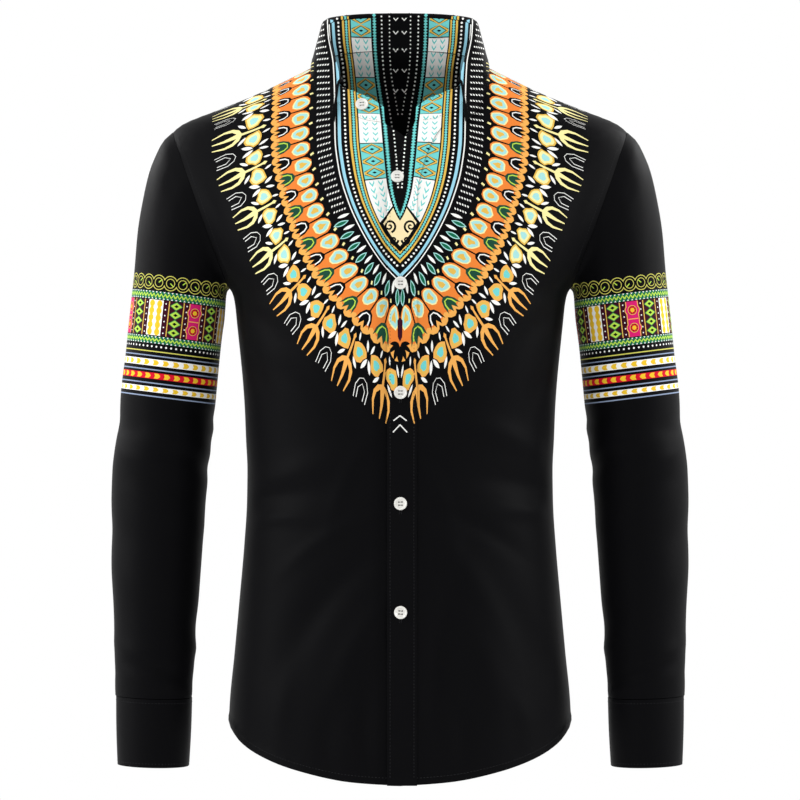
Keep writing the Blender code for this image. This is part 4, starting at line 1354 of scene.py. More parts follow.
class SleeveForm(ClothForm):
    """One sleeve. Flat places are the turn round it times its radius, and the length down it."""

    RADIUS = 50.0

    def __init__(self, torso: Torso, mirror: int) -> None:
        """Lay the rings of the sleeve.

        Args:
            torso: the body that it is set into.
            mirror: 1 for the viewer's right, -1 for the left.
        """
        self.mirror = mirror
        outer, inner = column(SLEEVE_OUTER, "z", "x"), column(SLEEVE_INNER, "z", "x")
        number = np.concatenate([np.arange(0, 5, 0.125), np.arange(5, len(SLEEVE_RINGS) - 1, 0.16),
            [len(SLEEVE_RINGS) - 1]])
        turns = np.linspace(-pi, pi, 145)
        turn, at = np.meshgrid(turns, number)
        outer_z, inner_z, deep, middle_y, share = [by_row(SLEEVE_RINGS, name)(at) for name in Ring._fields]
        points = sleeve_ring(torso, (outer, inner), (outer_z, inner_z, deep, middle_y, share), turn)
        away = np.array([SHOULDER_TIP.z - UNDERARM.z, 0, UNDERARM.x - SHOULDER_TIP.x], float)
        points = (points + away / np.linalg.norm(away) * SEAM_GAP) * (mirror, 1, 1)
        steps = np.linalg.norm(np.diff(points, axis=0), axis=-1).mean(1)
        down = np.concatenate([[0], np.cumsum(steps)])
        super().__init__(points, turns * self.RADIUS, down, (mirror * 240.0, 0.0))
        self.heights = np.arange(-345.0, -185.0, 1.0)
        rows = [np.interp(-self.heights, -points[:, i, 2], down) for i in range(len(turns))]
        self.rows_by_height = np.array(rows).T

    def from_band(self, corners: Points, top: float, tilt: float) -> Points:
        """Bring places of the printed band onto the sleeve.

        Args:
            corners: places round the sleeve and down from the band's upper edge.
            top: height of the band's upper edge at the sleeve's outer side.
            tilt: how far it has dropped at the sleeve's inner side.

        Returns:
            Flat places.
        """
        around, down = corners[:, 0], corners[:, 1]
        z = top - down - tilt * (1 - np.cos(around / self.RADIUS)) / 2
        col = np.clip((around / self.RADIUS + pi) / (2 * pi) * 144, 0, 143.999)
        row = np.clip(z - self.heights[0], 0, len(self.heights) - 1.001)
        i, j = row.astype(int), col.astype(int)
        f, g = row - i, col - j
        table = self.rows_by_height
        low = table[i, j] * (1 - g) + table[i, j + 1] * g
        high = table[i + 1, j] * (1 - g) + table[i + 1, j + 1] * g
        return np.stack([around, low * (1 - f) + high * f], -1)


def sleeve_ring(torso: Torso, edges: tuple[Curve, Curve], ring: tuple, turn: Points,
        fold: bool = True) -> Points:
    """Place points round rings of a sleeve or cuff at the viewer's right.

    Args:
        torso: the body that the sleeve is set into.
        edges: curves of the outer and the inner edge.
        ring: outer height, inner height, half depth, middle depth and armhole share at each point.
        turn: turn of each point from the outer edge over the front.
        fold: whether the sleeve's folds are laid.

    Returns:
        The points.
    """
    outer_z, inner_z, deep, middle_y, share = ring
    middle = np.stack([edges[0](outer_z) + edges[1](inner_z), 0 * turn, outer_z + inner_z], -1) / 2
    half = np.stack([edges[0](outer_z) - edges[1](inner_z), 0 * turn, outer_z - inner_z], -1) / 2
    place = middle + half * np.cos(turn)[..., None]
    side = np.where(np.sin(turn) >= 0, -1, 1)
    depth = side * deep * np.abs(np.sin(turn))
    hole_x = (SHOULDER_TIP.x * (1 + np.cos(turn)) + UNDERARM.x * (1 - np.cos(turn))) / 2
    hole_z = (SHOULDER_TIP.z * (1 + np.cos(turn)) + UNDERARM.z * (1 - np.cos(turn))) / 2
    own = np.where(side < 0, torso.place(hole_x, hole_z, -1)[0][..., 1] + SEAM_GAP / 2,
        torso.place(hole_x, hole_z, 1)[0][..., 1] - SEAM_GAP / 2)
    place[..., 1] = middle_y + depth + share * (own - depth)
    if not fold:
        return place
    radial = unit(place - middle - np.stack([0 * turn, middle_y + 0 * turn, 0 * turn], -1))
    total = np.zeros(turn.shape)
    for item in SLEEVE_FOLDS:
        around = (turn - radians(item.turn) + pi) % (2 * pi) - pi
        spiral = place[..., 2] - item.z + 9.0 * around
        total += item.height * np.exp(-((around / radians(item.reach)) ** 2) - (spiral / item.spread) ** 2)
    return place + radial * total[..., None]


class CuffForm(ClothForm):
    """One cuff, its end lapped over its start at the back."""

    def __init__(self, torso: Torso, mirror: int) -> None:
        """Lay the cuff.

        Args:
            torso: the body, which the ring function reads.
            mirror: 1 for the viewer's right, -1 for the left.
        """
        edges = column(SLEEVE_OUTER, "z", "x"), column(SLEEVE_INNER, "z", "x")
        span = 2 * pi + CUFF_LAP
        turns = np.linspace(CUFF_END - span, CUFF_END, 161)
        top, low = [sleeve_ring(torso, edges, tuple(v + 0 * turns for v in ring), turns, False)
            for ring in (CUFF_TOP, CUFF_BOTTOM)]
        shares = np.linspace(0, 1, 25)[:, None, None]
        bulge = 0.5 * np.sin(pi * shares)
        plain = top * (1 - shares) + low * shares
        radial = plain - plain.mean(1, keepdims=True)
        radial[..., 2] = 0
        radial = unit(radial)
        lift = ease((turns - CUFF_END + 2 * CUFF_LAP) / (0.8 * CUFF_LAP)) * CUFF_LAP_STEP
        points = (plain + radial * (lift[None, :, None] + bulge - 0.25)) * (mirror, 1, 1)
        arc = run_along(plain[12])
        high = np.linalg.norm(top - low, axis=1).mean()
        super().__init__(points, arc, np.linspace(0, high, 25), (mirror * CUFF_MIDDLE_X, CUFF_MIDDLE_Y))
        self.turns, self.mirror = turns, mirror


class CollarRing:
    """The neckline and the top line of the collar, from one end to the other."""

    STEP = 0.1

    def __init__(self, torso: Torso) -> None:
        """Work out both lines and the directions between them.

        Args:
            torso: the body.
        """
        last = len(COLLAR) - 1
        half = np.arange(0, last + self.STEP / 2, self.STEP)
        front, back = half[half <= SIDE_STATION + 1e-6], half[half > SIDE_STATION + 1e-6]
        parts = []
        for mirror in (1, -1):
            x, z = by_row(FRONT_NECK, "x")(front), by_row(FRONT_NECK, "z")(front)
            base, out = torso.place(mirror * x, z, -1, mirror < 0)
            x, z = by_row(BACK_NECK, "x")(last - back), by_row(BACK_NECK, "z")(last - back)
            rear, rear_out = torso.place(mirror * x, z, 1)
            tops = np.stack([by_row(COLLAR, name)(half) for name in ("top_x", "top_y", "top_z")],
                -1) * (mirror, 1, 1)
            parts.append([half, np.concatenate([base, rear]), np.concatenate([out, rear_out]), tops])
        joined = [np.concatenate([a, b[-2::-1]]) for a, b in zip(*parts)]
        self.at, self.base, self.base_out, self.top = joined
        along = unit(np.gradient(self.top, axis=0))
        rise = self.top - self.base
        rise -= along * np.sum(rise * along, 1)[:, None]
        self.rise = unit(rise)
        self.out = np.cross(along, self.rise)
        arc = run_along(self.top)
        self.arc = arc - arc[-1] / 2


class StandForm(ClothForm):
    """The collar stand, from the neckline up to its top edge."""

    def __init__(self, ring: CollarRing) -> None:
        """Lay the stand.

        Args:
            ring: the collar's lines.
        """
        covered = ease(ring.at - LEAF_START + 1)[:, None]
        end = ring.top - ring.rise * covered * (FOLD_DROP + FOLD_GAP) + ring.out * COLLAR_WALL / 2
        way = end - ring.base
        foot = ring.base + unit(way) * STAND_RISE
        shares = np.linspace(0, 1, 21)[:, None, None]
        points = foot * (1 - shares) + end * shares
        high = np.linalg.norm(end - foot, axis=1).mean()
        super().__init__(points, ring.arc, np.linspace(0, high, 21), (0.0, 0.0))
        if np.sum(self.normals * ring.out[None]) < 0:
            self.normals, self.turned = -self.normals, not self.turned


class LeafForm(ClothForm):
    """The collar leaf, from its free edge up over the turned-over top."""

    def __init__(self, ring: CollarRing, torso: Torso) -> None:
        """Lay the leaf.

        Args:
            ring: the collar's lines.
            torso: the body that its edge rests on.
        """
        keep = ring.at >= LEAF_START - 1e-6
        at, base, base_out, top = ring.at[keep], ring.base[keep], ring.base_out[keep], ring.top[keep]
        out, rise = ring.out[keep], ring.rise[keep]
        mirror = np.where(np.arange(len(at)) < len(at) / 2, 1, -1)
        x, z = [Curve(np.arange(len(COLLAR) - LEAF_START),
            [getattr(row, name) for row in COLLAR[LEAF_START:]])(at - LEAF_START)
            for name in ("leaf_x", "leaf_z")]
        x = mirror * np.minimum(x, torso.half_width(z))
        front, front_out = torso.place(x, z, -1)
        rear, rear_out = torso.place(x, z, 1)
        is_front = (at < SIDE_STATION)[:, None]
        edge = np.where(is_front, front + front_out * LEAF_LIFT, rear + rear_out * LEAF_LIFT)
        path = [top + out * over + rise * up for over, up in LEAF_FOLD]
        clear = unit(out + base_out)
        over_neck = path[-1] * (1 - LEAF_MIDDLE) + edge * LEAF_MIDDLE
        gap = LEAF_OVER_NECK - np.sum((over_neck - base) * clear, 1)
        over_neck = over_neck + clear * np.maximum(gap, 0)[:, None]
        path += [(path[-1] + over_neck) / 2, over_neck, (over_neck + edge) / 2, edge]
        knots = np.array(path[::-1])
        fine = np.linspace(0, len(knots) - 1, 49)
        near = np.clip(fine.astype(int), 0, len(knots) - 2)
        share = (fine - near)[:, None, None]
        before, after = knots[np.maximum(near - 1, 0)], knots[np.minimum(near + 2, len(knots) - 1)]
        start, end = knots[near], knots[near + 1]
        straight = start * (1 - share) + end * share
        curved = 0.5 * (2 * start + (end - before) * share + (2 * before - 5 * start + 4 * end - after)
            * share**2 + (3 * start - before - 3 * end + after) * share**3)
        points = straight * 0.5 + curved * 0.5
        down = np.concatenate([[0], np.cumsum(np.linalg.norm(np.diff(points, axis=0), axis=-1).mean(1))])
        super().__init__(points, ring.arc[keep], down, (0.0, 0.0))
        outward = np.sum(self.normals[:20] * (out + base_out)[None])
        if outward < 0:
            self.normals, self.turned = -self.normals, not self.turned


@dataclass
class SleevePrint(Print):
    """The printed band round a sleeve, as places round it and down it."""

    reach: float = 157.0
    shift: float = 0.0

    def stripe(self, low: float, high: float, dye: Dye) -> None:
        """Draw a stripe all the way round.

        Args:
            low: its upper edge.
            high: its lower edge.
            dye: its colour.
        """
        ends = np.linspace(-self.reach, self.reach, 65)
        for a, b in pairwise(ends):
            self.add(shape((a, low), (b, low), (b, high), (a, high)), dye)

    def across(self, pitch: float) -> Points:
        """Divide the way round into even cells."""
        count = round(2 * self.reach / pitch)
        return (np.arange(count) + 0.5) / count * 2 * self.reach - self.reach

    def rings(self, middle: float) -> None:
        """Draw the chain of rings along the upper edge.

        Args:
            middle: how far down their middles lie.
        """
        places = self.across(13.0)
        for radius, dye in ((7.7, Dye.STRAW), (6.9, Dye.BLACK)):
            for x in places:
                self.add(oval(x, middle, radius, radius, 20), dye)
        for number, x in enumerate(places):
            self.add(oval(x, middle, 4.9, 4.9, 16), Dye.STRAW)
            self.add(oval(x, middle, 4.2, 4.2, 16), Dye.BLACK)
            slant = 1 if number % 2 else -1
            self.add(stroke([(x, middle), (x + 3.2, middle + 2.8 * slant)], 1.0), Dye.LIME)

    def zigzag_band(self, low: float, high: float) -> None:
        """Draw a green band with a lime zigzag between two rows of white dots.

        Args:
            low: its upper edge.
            high: its lower edge.
        """
        self.stripe(low, high, Dye.DEEP_GREEN)
        for x in self.across(8.8):
            line = [(x - 4.4, high - 2.2), (x - 2.2, low + 2.2), (x, high - 2.2), (x + 2.2, low + 2.2),
                (x + 4.4, high - 2.2)]
            self.add(stroke(line, 1.7), Dye.LIME)
        for x in self.across(4.4):
            for edge, inward in ((low, 1.0), (high, -1.0)):
                self.add(shape((x - 1.1, edge), (x + 1.1, edge), (x, edge + 1.5 * inward)), Dye.WHITE)

    def panels(self, low: float, high: float) -> None:
        """Draw the row of upright panels.

        Args:
            low: its upper edge.
            high: its lower edge.
        """
        self.stripe(low, high, Dye.MAROON)
        widths = [("diamonds", 14.0), ("line", 1.4), ("dots", 5.0), ("waves", 17.0), ("dots", 5.6),
            ("line", 1.4), ("diamonds", 14.0), ("line", 1.4), ("dots", 5.0), ("flowers", 13.5),
            ("dots", 5.4), ("line", 1.4)]
        tall, number = high - low, 0
        x = -self.reach + self.shift - sum(wide for _, wide in widths)
        while x < self.reach:
            kind, wide = widths[number % len(widths)]
            middle, end = x + wide / 2, x + wide
            if end < -self.reach:
                x, number = end, number + 1
                continue
            if kind == "line":
                self.add(shape((x + 0.2, low), (end - 0.2, low), (end - 0.2, high), (x + 0.2, high)),
                    Dye.OCHRE)
            elif kind == "dots":
                for row in range(6):
                    self.add(oval(middle, low + (row + 0.5) * tall / 6, 0.75, 0.75, 7), Dye.WHITE)
            elif kind == "diamonds":
                for row in range(4):
                    at = low + (row + 0.5) * tall / 4
                    for size, dye in ((1.0, Dye.GREEN), (0.84, Dye.LIME), (0.36, Dye.BLACK)):
                        self.add(oval(middle, at, 6.9 * size, tall / 8 * size, 4), dye)
            elif kind == "waves":
                self.add(shape((x, low), (end, low), (end, high), (x, high)), Dye.WHITE)
                for side in (-1, 1):
                    self.add(shape((middle + side * 2.4, low + 0.6), (middle + side * 6.0, low + 0.6),
                        (middle + side * 6.0, high - 0.6), (middle + side * 2.4, high - 0.6)), Dye.YELLOW)
                    for row in range(5):
                        at = low + (row + 0.5) * tall / 5
                        self.add(oval(middle + side * 4.3, at, 3.1, tall / 10, 12), Dye.YELLOW)
            else:
                for swell, dye in ((0.9, Dye.LIGHT_ORANGE), (0.0, Dye.MAGENTA)):
                    self.add(shape((x + 0.9 - swell, low), (end - 0.9 + swell, low),
                        (end - 0.9 + swell, high), (x + 0.9 - swell, high)), dye)
                    for at in (low + tall * 0.25, low + tall * 0.75):
                        self.add(oval(middle, at, wide / 2 + 0.6 + swell, 5.6 + swell, 18), dye)
                for at in (low + tall * 0.25, low + tall * 0.75):
                    self.add(oval(middle, at, 4.9, 4.9, 16), Dye.LIGHT_ORANGE)
                    self.add(oval(middle, at, 4.2, 4.2, 16), Dye.MAROON)
                    for petal in range(8):
                        turn = petal * pi / 4
                        self.add(oval(middle + 2.9 * cos(turn), at + 2.9 * sin(turn), 1.1, 1.1, 7), Dye.RED)
                    self.add(oval(middle, at, 2.3, 2.3, 8), Dye.YELLOW)
                self.add(stroke([(x + 1.5, low + tall / 2), (end - 1.5, low + tall / 2)], 0.9),
                    Dye.LIGHT_ORANGE)
            x += wide
            number += 1

    def arrows(self, low: float, high: float, pitch: float, ground: Dye, dye: Dye) -> None:
        """Draw a band of rounded arrowheads.

        Args:
            low: its upper edge.
            high: its lower edge.
            pitch: length of an arrow.
            ground: colour of the band.
            dye: colour of the arrows.
        """
        self.stripe(low, high, ground)
        middle, half = (low + high) / 2, (high - low) / 2 * 0.8
        for x in self.across(pitch):
            self.add(shape((x - 0.3 * pitch, middle - half), (x + 0.1 * pitch, middle - half),
                (x + 0.26 * pitch, middle - 0.5 * half), (x + 0.34 * pitch, middle),
                (x + 0.26 * pitch, middle + 0.5 * half), (x + 0.1 * pitch, middle + half),
                (x - 0.3 * pitch, middle + half), (x - 0.2 * pitch, middle)), dye)

    def draw(self) -> list[Patch]:
        """Draw the whole band.

        Returns:
            Its patches.
        """
        self.rings(8.2)
        self.zigzag_band(17.4, 25.0)
        self.panels(25.9, 61.4)
        self.zigzag_band(62.4, 69.4)
        for x in self.across(5.3):
            self.add(oval(x, 72.6, 1.05, 1.05, 7), Dye.WHITE)
        self.stripe(77.0, 78.1, Dye.STRAW)
        self.stripe(81.4, 82.5, Dye.STEEL_BLUE)
        self.arrows(85.4, 92.0, 10.7, Dye.WHITE, Dye.YELLOW)
        self.stripe(95.3, 96.5, Dye.STEEL_BLUE)
        self.arrows(98.8, 105.0, 10.5, Dye.RED, Dye.YELLOW)
        self.stripe(108.6, 109.8, Dye.STEEL_BLUE)
        self.arrows(112.8, 118.2, 10.3, Dye.WHITE, Dye.YELLOW)
        self.stripe(121.8, 123.0, Dye.STEEL_BLUE)
        return self.patches


@dataclass
class Seamwork:
    """Stitches and buttonholes, sewn as small bars of thread on the cloth."""

    name: str
    thread: SewingThread
    length: float = 2.5
    gap: float = 0.9
    thick: float = 0.5
    bars: list[tuple[Points, Points, Points, float, float]] = field(default_factory=list)

    def line(self, form: ClothForm, path: Points, lift: float) -> None:
        """Sew a line of stitches.

        Args:
            form: the cloth.
            path: flat places along the line.
            lift: how far above the cloth's form the outside of the cloth lies.
        """
        fine = [path[0]]
        for start, end in pairwise(path):
            count = max(int(np.linalg.norm(end - start) // 2), 1)
            fine += [start + (end - start) * (i + 1) / count for i in range(count)]
        fine = np.array(fine)
        points, out = form.place(fine[:, 0], fine[:, 1], lift + 0.1)
        run = run_along(points)
        starts = np.arange(self.gap, run[-1] - self.length, self.length + self.gap)
        for start in starts:
            ends = [np.array([np.interp(at, run, points[:, i]) for i in range(3)])
                for at in (start, start + self.length)]
            normal = np.array([np.interp(start + self.length / 2, run, out[:, i]) for i in range(3)])
            self.bars.append((ends[0], ends[1], normal, self.thick, self.thick * 0.45))

    def bar(self, start: Points, end: Points, normal: Points, width: float, height: float) -> None:
        """Lay one bar of thread."""
        self.bars.append((start, end, normal, width, height))

    def buttonhole(self, form: ClothForm, place: Points, way: Points, lift: float,
            length: float = 17.0) -> None:
        """Sew a buttonhole: two close rows of short bars.

        Args:
            form: the cloth.
            place: flat place of its middle.
            way: flat direction of its length.
            lift: how far above the cloth's form the outside of the cloth lies.
            length: its length.
        """
        side = np.array([-way[1], way[0]])
        count = int(length / 0.8)
        for number in range(count):
            along = way * ((number + 0.5) / count - 0.5) * length
            for sign in (-1, 1):
                flat = np.array([place + along + side * sign * 0.35, place + along + side * sign * 1.5])
                points, out = form.place(flat[:, 0], flat[:, 1], lift + 0.05)
                self.bar(points[0], points[1], out[0], 0.6, 0.3)

    def build(self) -> bpy.types.Object:
        """Make one mesh of all the bars.

        Returns:
            The object.
        """
        corners, faces = [], []
        for start, end, normal, width, height in self.bars:
            way = unit(end - start)
            side = unit(np.cross(normal, way)) * width / 2
            up = unit(np.cross(way, side))
            first = len(corners)
            middle = (start + end) / 2
            rise = up * height
            corners += [start - rise, middle + side, end - rise, middle - side, middle + rise,
                middle - rise * 0.8]
            faces += [tuple(first + i for i in face)
                for face in ((0, 1, 4), (1, 2, 4), (2, 3, 4), (3, 0, 4), (1, 0, 5), (2, 1, 5), (3, 2, 5),
                (0, 3, 5))]
        mesh = bpy.data.meshes.new(self.name)
        mesh.from_pydata(np.array(corners) * MM, [], faces)
        mesh.validate()
        mesh.materials.append(self.thread.material())
        mesh.polygons.foreach_set("use_smooth", [True] * len(mesh.polygons))
        made = bpy.data.objects.new(self.name, mesh)
        bpy.context.scene.collection.objects.link(made)
        outward_faces(made)
        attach(made, "root")
        log.info("%s: %d bars", self.name, len(self.bars))
        return made


def outward_faces(made: bpy.types.Object) -> None:
    """Turn every face of an object outwards.

    Args:
        made: the object.
    """
    bpy.ops.object.select_all(action="DESELECT")
    made.select_set(True)
    bpy.context.view_layer.objects.active = made
    bpy.ops.object.mode_set(mode="EDIT")
    bpy.ops.mesh.select_all(action="SELECT")
    bpy.ops.mesh.normals_make_consistent(inside=False)
    bpy.ops.object.mode_set(mode="OBJECT")


def view_outline(form: ClothForm, corners: list[tuple[float, float]], step: float = 4.0) -> Points:
    """Turn an outline seen from the front into flat places, with a corner every few millimetres.

    Args:
        form: the cloth.
        corners: the outline's corners, x and z.
        step: distance between the new corners.

    Returns:
        Flat places.
    """
    fine = []
    for start, end in zip(corners, corners[1:] + corners[:1]):
        a, b = np.array(start, float), np.array(end, float)
        count = max(int(np.linalg.norm(b - a) / step), 1)
        fine += [a + (b - a) * i / count for i in range(count)]
    fine = np.array(fine)
    p, q = form.flat_from_view(fine[:, 0], fine[:, 1])
    return np.stack([p, q], -1)


def tidy_outline(outline: Points) -> Points:
    """Drop corners that fall on the one before them.

    Args:
        outline: the corners.

    Returns:
        The corners that are left.
    """
    kept = [outline[0]]
    for place in outline[1:]:
        if np.linalg.norm(place - kept[-1]) > 0.4:
            kept.append(place)
    if np.linalg.norm(kept[0] - kept[-1]) < 0.4:
        kept.pop()
    return np.array(kept)


class Piece(Enum):
    """Names of the cut pieces, which are also those of the solids that they stand for."""

    FRONT_LEFT = "front_left"
    FRONT_RIGHT = "front_right"
    PLACKET = "placket"
    BACK = "back"
    SLEEVE_LEFT = "sleeve_left"
    SLEEVE_RIGHT = "sleeve_right"
    CUFF_LEFT = "cuff_left"
    CUFF_RIGHT = "cuff_right"
    STAND = "collar_stand"
    LEAF = "collar_leaf"


FRONT_PANELS = [(-22.5, -46.8, True), (-47.2, -77.0, False), (-78.0, -113.5, True), (-114.5, -150.5, False)]
UPPER_PANELS = [(20.0, -2.0, True), (-2.4, -22.0, False)]
INSIDE_PANELS = [(66.0, 40.5, True), (39.5, 1.0, False), (0.0, -27.0, True), (-28.0, -60.0, False)]


@dataclass
class Shirt:
    """The garment: its cut pieces with their print, its seams and its buttons."""

    cloth: float = 1.2
    placket_cloth: float = 1.0
    collar_cloth: float = 1.5
    cuff_cloth: float = 1.6
    placket_width: float = 29.6
    placket_stitch: float = 3.0
    hem_stitch: float = 7.0
    armhole_stitch: float = 5.0
    print_reach: float = 80.0
    button_heights: tuple[float, ...] = (-113.5, -219.3, -328.7, -439.5, -547.3)
    torso: Torso = field(default_factory=Torso)
    black_thread: Seamwork = field(default_factory=lambda: Seamwork("seam_stitches",
        SewingThread("black", "#1D1D20")))
    button_thread: Seamwork = field(default_factory=lambda: Seamwork("button_thread",
        SewingThread("grey", "#3A3A3C")))

    def __post_init__(self) -> None:
        """Draw the neck print once, for every piece that it crosses."""
        chest = NeckPrint(NECK_STATIONS, BodyForm(self.torso, -1))
        chest.throat_bands(0.0)
        chest.panels(FRONT_PANELS + UPPER_PANELS)
        chest.scrolls()
        chest.ticks(0.0, 7.1)
        chest.petals(1.2, 4.0)
        chest.tip()
        chest.sprays(1.2, 7.0)
        self.chest = chest.mirrored()
        lining = NeckPrint(NECK_STATIONS)
        lining.throat_bands(0.0)
        lining.panels(INSIDE_PANELS)
        lining.ticks(0.0, 12.0)
        for z in (58.0, 44.0, 26.0, 6.0, -14.0):
            lining.add(stroke([(2.0, z + 3.0), (4.5, z), (7.0, z + 3.0)], 1.2), Dye.WHITE)
        self.lining = lining.mirrored()
        rear = NeckPrint(BACK_STATIONS, BodyForm(self.torso, 1))
        rear.ticks(0.0, 9.0)
        rear.petals(0.0, 1.0)
        rear.sprays(0.0, 9.0)
        self.rear = rear.mirrored()
        self.panel_shifts = {1: -13.0, -1: 16.0}
        self.openings = {1: column(OPENING, "z", "upper_front"), -1: column(OPENING, "z", "under_front")}
        self.neck = [(float(by_row(FRONT_NECK, "x")(at)), float(by_row(FRONT_NECK, "z")(at)))
            for at in np.linspace(0, SIDE_STATION, 33)]

    def declare(self, piece: Piece, sheet: Sheet) -> bpy.types.Object:
        """Build a piece of cloth in the place of its solid and state its flat cut.

        Args:
            piece: which piece it is.
            sheet: its cloth.

        Returns:
            The object.
        """
        made = sheet.build()
        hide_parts(piece.value)
        low, high = sheet.outline.min(0), sheet.outline.max(0)
        wide, long = (high - low) * MM
        faces = made.data.polygons
        area = sum(face.area for face in list(faces)[: sheet.outside_count])
        long = max(long, area / wide / 0.97)
        log.info("%s: flat %.3f x %.3f m, %.4f m2", piece.value, wide, long, area)
        return made

    def side_line(self) -> list[tuple[float, float]]:
        """Trace the shoulder seam, the armhole, the side seam and half of the hem.

        Returns:
            Corners from the neck down to the middle of the hem, x and z.
        """
        shoulder = np.linspace(8.5, SHOULDER_TIP.z, 30)[1:]
        arm = np.linspace(SHOULDER_TIP.z, UNDERARM.z, 30)[1:]
        side = np.linspace(UNDERARM.z, SIDE_HEM_Z, 60)[1:]
        across = np.linspace(HEM[-1].x, 0, 40)
        return (list(zip(self.torso.half_width(shoulder), shoulder))
            + list(zip(self.torso.armhole_x(arm), arm)) + list(zip(self.torso.half_width(side), side))
            + list(zip(across, self.torso.hem(across))))

    def build_fronts(self) -> None:
        """Make both fronts and the placket."""
        lift = SEAM_GAP + self.placket_cloth
        for piece, mirror in ((Piece.FRONT_LEFT, 1), (Piece.FRONT_RIGHT, -1)):
            form = BodyForm(self.torso, -1, mirror < 0)
            down = np.linspace(-56.0, TORSO[-1].z + 2.9, 150)
            edge = self.openings[mirror](down)
            corners = self.neck + self.side_line() + [(-12.0, -717.2)] + list(zip(edge[::-1], down[::-1]))
            outline = tidy_outline(view_outline(form, [(mirror * x, z) for x, z in corners]))
            print_patches = to_flat(form, self.chest, reach=self.print_reach)
            cloth = Sheet(f"{piece.value}_cloth", form, outline, self.cloth,
                prints={Skin.OUTSIDE: print_patches})
            made = self.declare(piece, cloth)
            hem_x = np.linspace(172, -10, 60)
            self.stitch(form, [(mirror * x, float(self.torso.hem(abs(x))) + self.hem_stitch) for x in hem_x])
            inset = [(x - self.armhole_stitch, z)
                for x, z in zip(self.torso.armhole_x(np.linspace(-66, -216, 30)),
                np.linspace(-66, -216, 30))]
            self.stitch(form, [(mirror * x, z) for x, z in inset])
            if mirror < 0:
                continue
            outer = list(zip(edge[::-1], down[::-1])) + self.placket_side(down)
            strip = tidy_outline(view_outline(form, outer))
            placket = Sheet("placket_cloth", form, strip, self.placket_cloth, spacing=4.0, lift=lift,
                prints={Skin.OUTSIDE: print_patches})
            self.declare(Piece.PLACKET, placket)
            for inward in (self.placket_stitch, self.placket_width - self.placket_stitch):
                self.stitch(form, [(float(self.openings[1](z)) + inward, z)
                    for z in np.linspace(-75, -712, 90)], lift)
            for z in self.button_heights:
                p, q = form.flat_from_view(np.array([0.5]), np.array([z]))
                self.black_thread.buttonhole(form, np.array([p[0], q[0]]), np.array([0.0, 1.0]), lift)

    def placket_side(self, down: Points) -> list[tuple[float, float]]:
        """Trace the placket's stitched edge and its top.

        Args:
            down: heights along it.

        Returns:
            Corners from the neckline down to the hem.
        """
        top = [(x, z) for x, z in self.neck if x < self.openings[1](-56.0) + self.placket_width]
        corner_z = top[-1][1]
        side = [(float(self.openings[1](z)) + self.placket_width, z) for z in down if z < corner_z - 6]
        return top + side

    def stitch(self, form: ClothForm, places: list[tuple[float, float]], lift: float = 0.0) -> None:
        """Sew a line that is given as the front view shows it.

        Args:
            form: the cloth.
            places: the line, x and z.
            lift: how far above the form the outside of the cloth lies.
        """
        places = np.array(places)
        p, q = form.flat_from_view(places[:, 0], places[:, 1])
        self.black_thread.line(form, np.stack([p, q], -1), lift)

    def build_back(self) -> None:
        """Make the back, printed inside the neck and round it outside."""
        form = BodyForm(self.torso, 1)
        last = len(BACK_NECK) - 1
        neck = [(float(by_row(BACK_NECK, "x")(at)), float(by_row(BACK_NECK, "z")(at)))
            for at in np.linspace(0, last, 25)]
        half = neck + self.side_line()
        corners = half + [(-x, z) for x, z in half[::-1]][1:-1]
        outline = tidy_outline(view_outline(form, corners))
        prints = {Skin.OUTSIDE: to_flat(form, self.rear, reach=self.print_reach),
            Skin.INSIDE: to_flat(form, self.lining, reach=self.print_reach)}
        self.declare(Piece.BACK, Sheet("back_cloth", form, outline, self.cloth, prints=prints))
        self.stitch(form, [(x, float(self.torso.hem(abs(x))) + self.hem_stitch)
            for x in np.linspace(-172, 172, 120)])

    def build_sleeves(self) -> None:
        """Make both sleeves and cuffs."""
        for sleeve, cuff, mirror in ((Piece.SLEEVE_LEFT, Piece.CUFF_LEFT, 1),
                (Piece.SLEEVE_RIGHT, Piece.CUFF_RIGHT, -1)):
            form = SleeveForm(self.torso, mirror)
            reach, end = pi * form.RADIUS - SEAM_GAP / 2, form.rows[-1]
            outline = rectangle(-reach, reach, end, 80, 150)
            band = SleevePrint(reach, self.panel_shifts[mirror]).draw()
            patches = [Patch(form.from_band(patch.corners, -204.0, 12.0), patch.dye) for patch in band]
            made = self.declare(sleeve, Sheet(f"{sleeve.value}_cloth", form, outline, self.cloth,
                prints={Skin.OUTSIDE: patches}))
            round_cuff = CuffForm(self.torso, mirror)
            wide, high = round_cuff.columns[-1], round_cuff.rows[-1]
            outline = rectangle(0.0, wide, high, 70, 18)
            self.declare(cuff, Sheet(f"{cuff.value}_cloth", round_cuff, outline, self.cuff_cloth,
                spacing=4.0))
            frame_path = np.array([(4, 4), (wide - 4, 4), (wide - 4, high - 4), (4, high - 4), (4, 4)], float)
            self.black_thread.line(round_cuff, frame_path, 0.0)
            hole = np.interp(radians(240.0), round_cuff.turns, round_cuff.columns)
            self.black_thread.buttonhole(round_cuff, np.array([hole, high / 2]), np.array([1.0, 0.0]), 0.0)

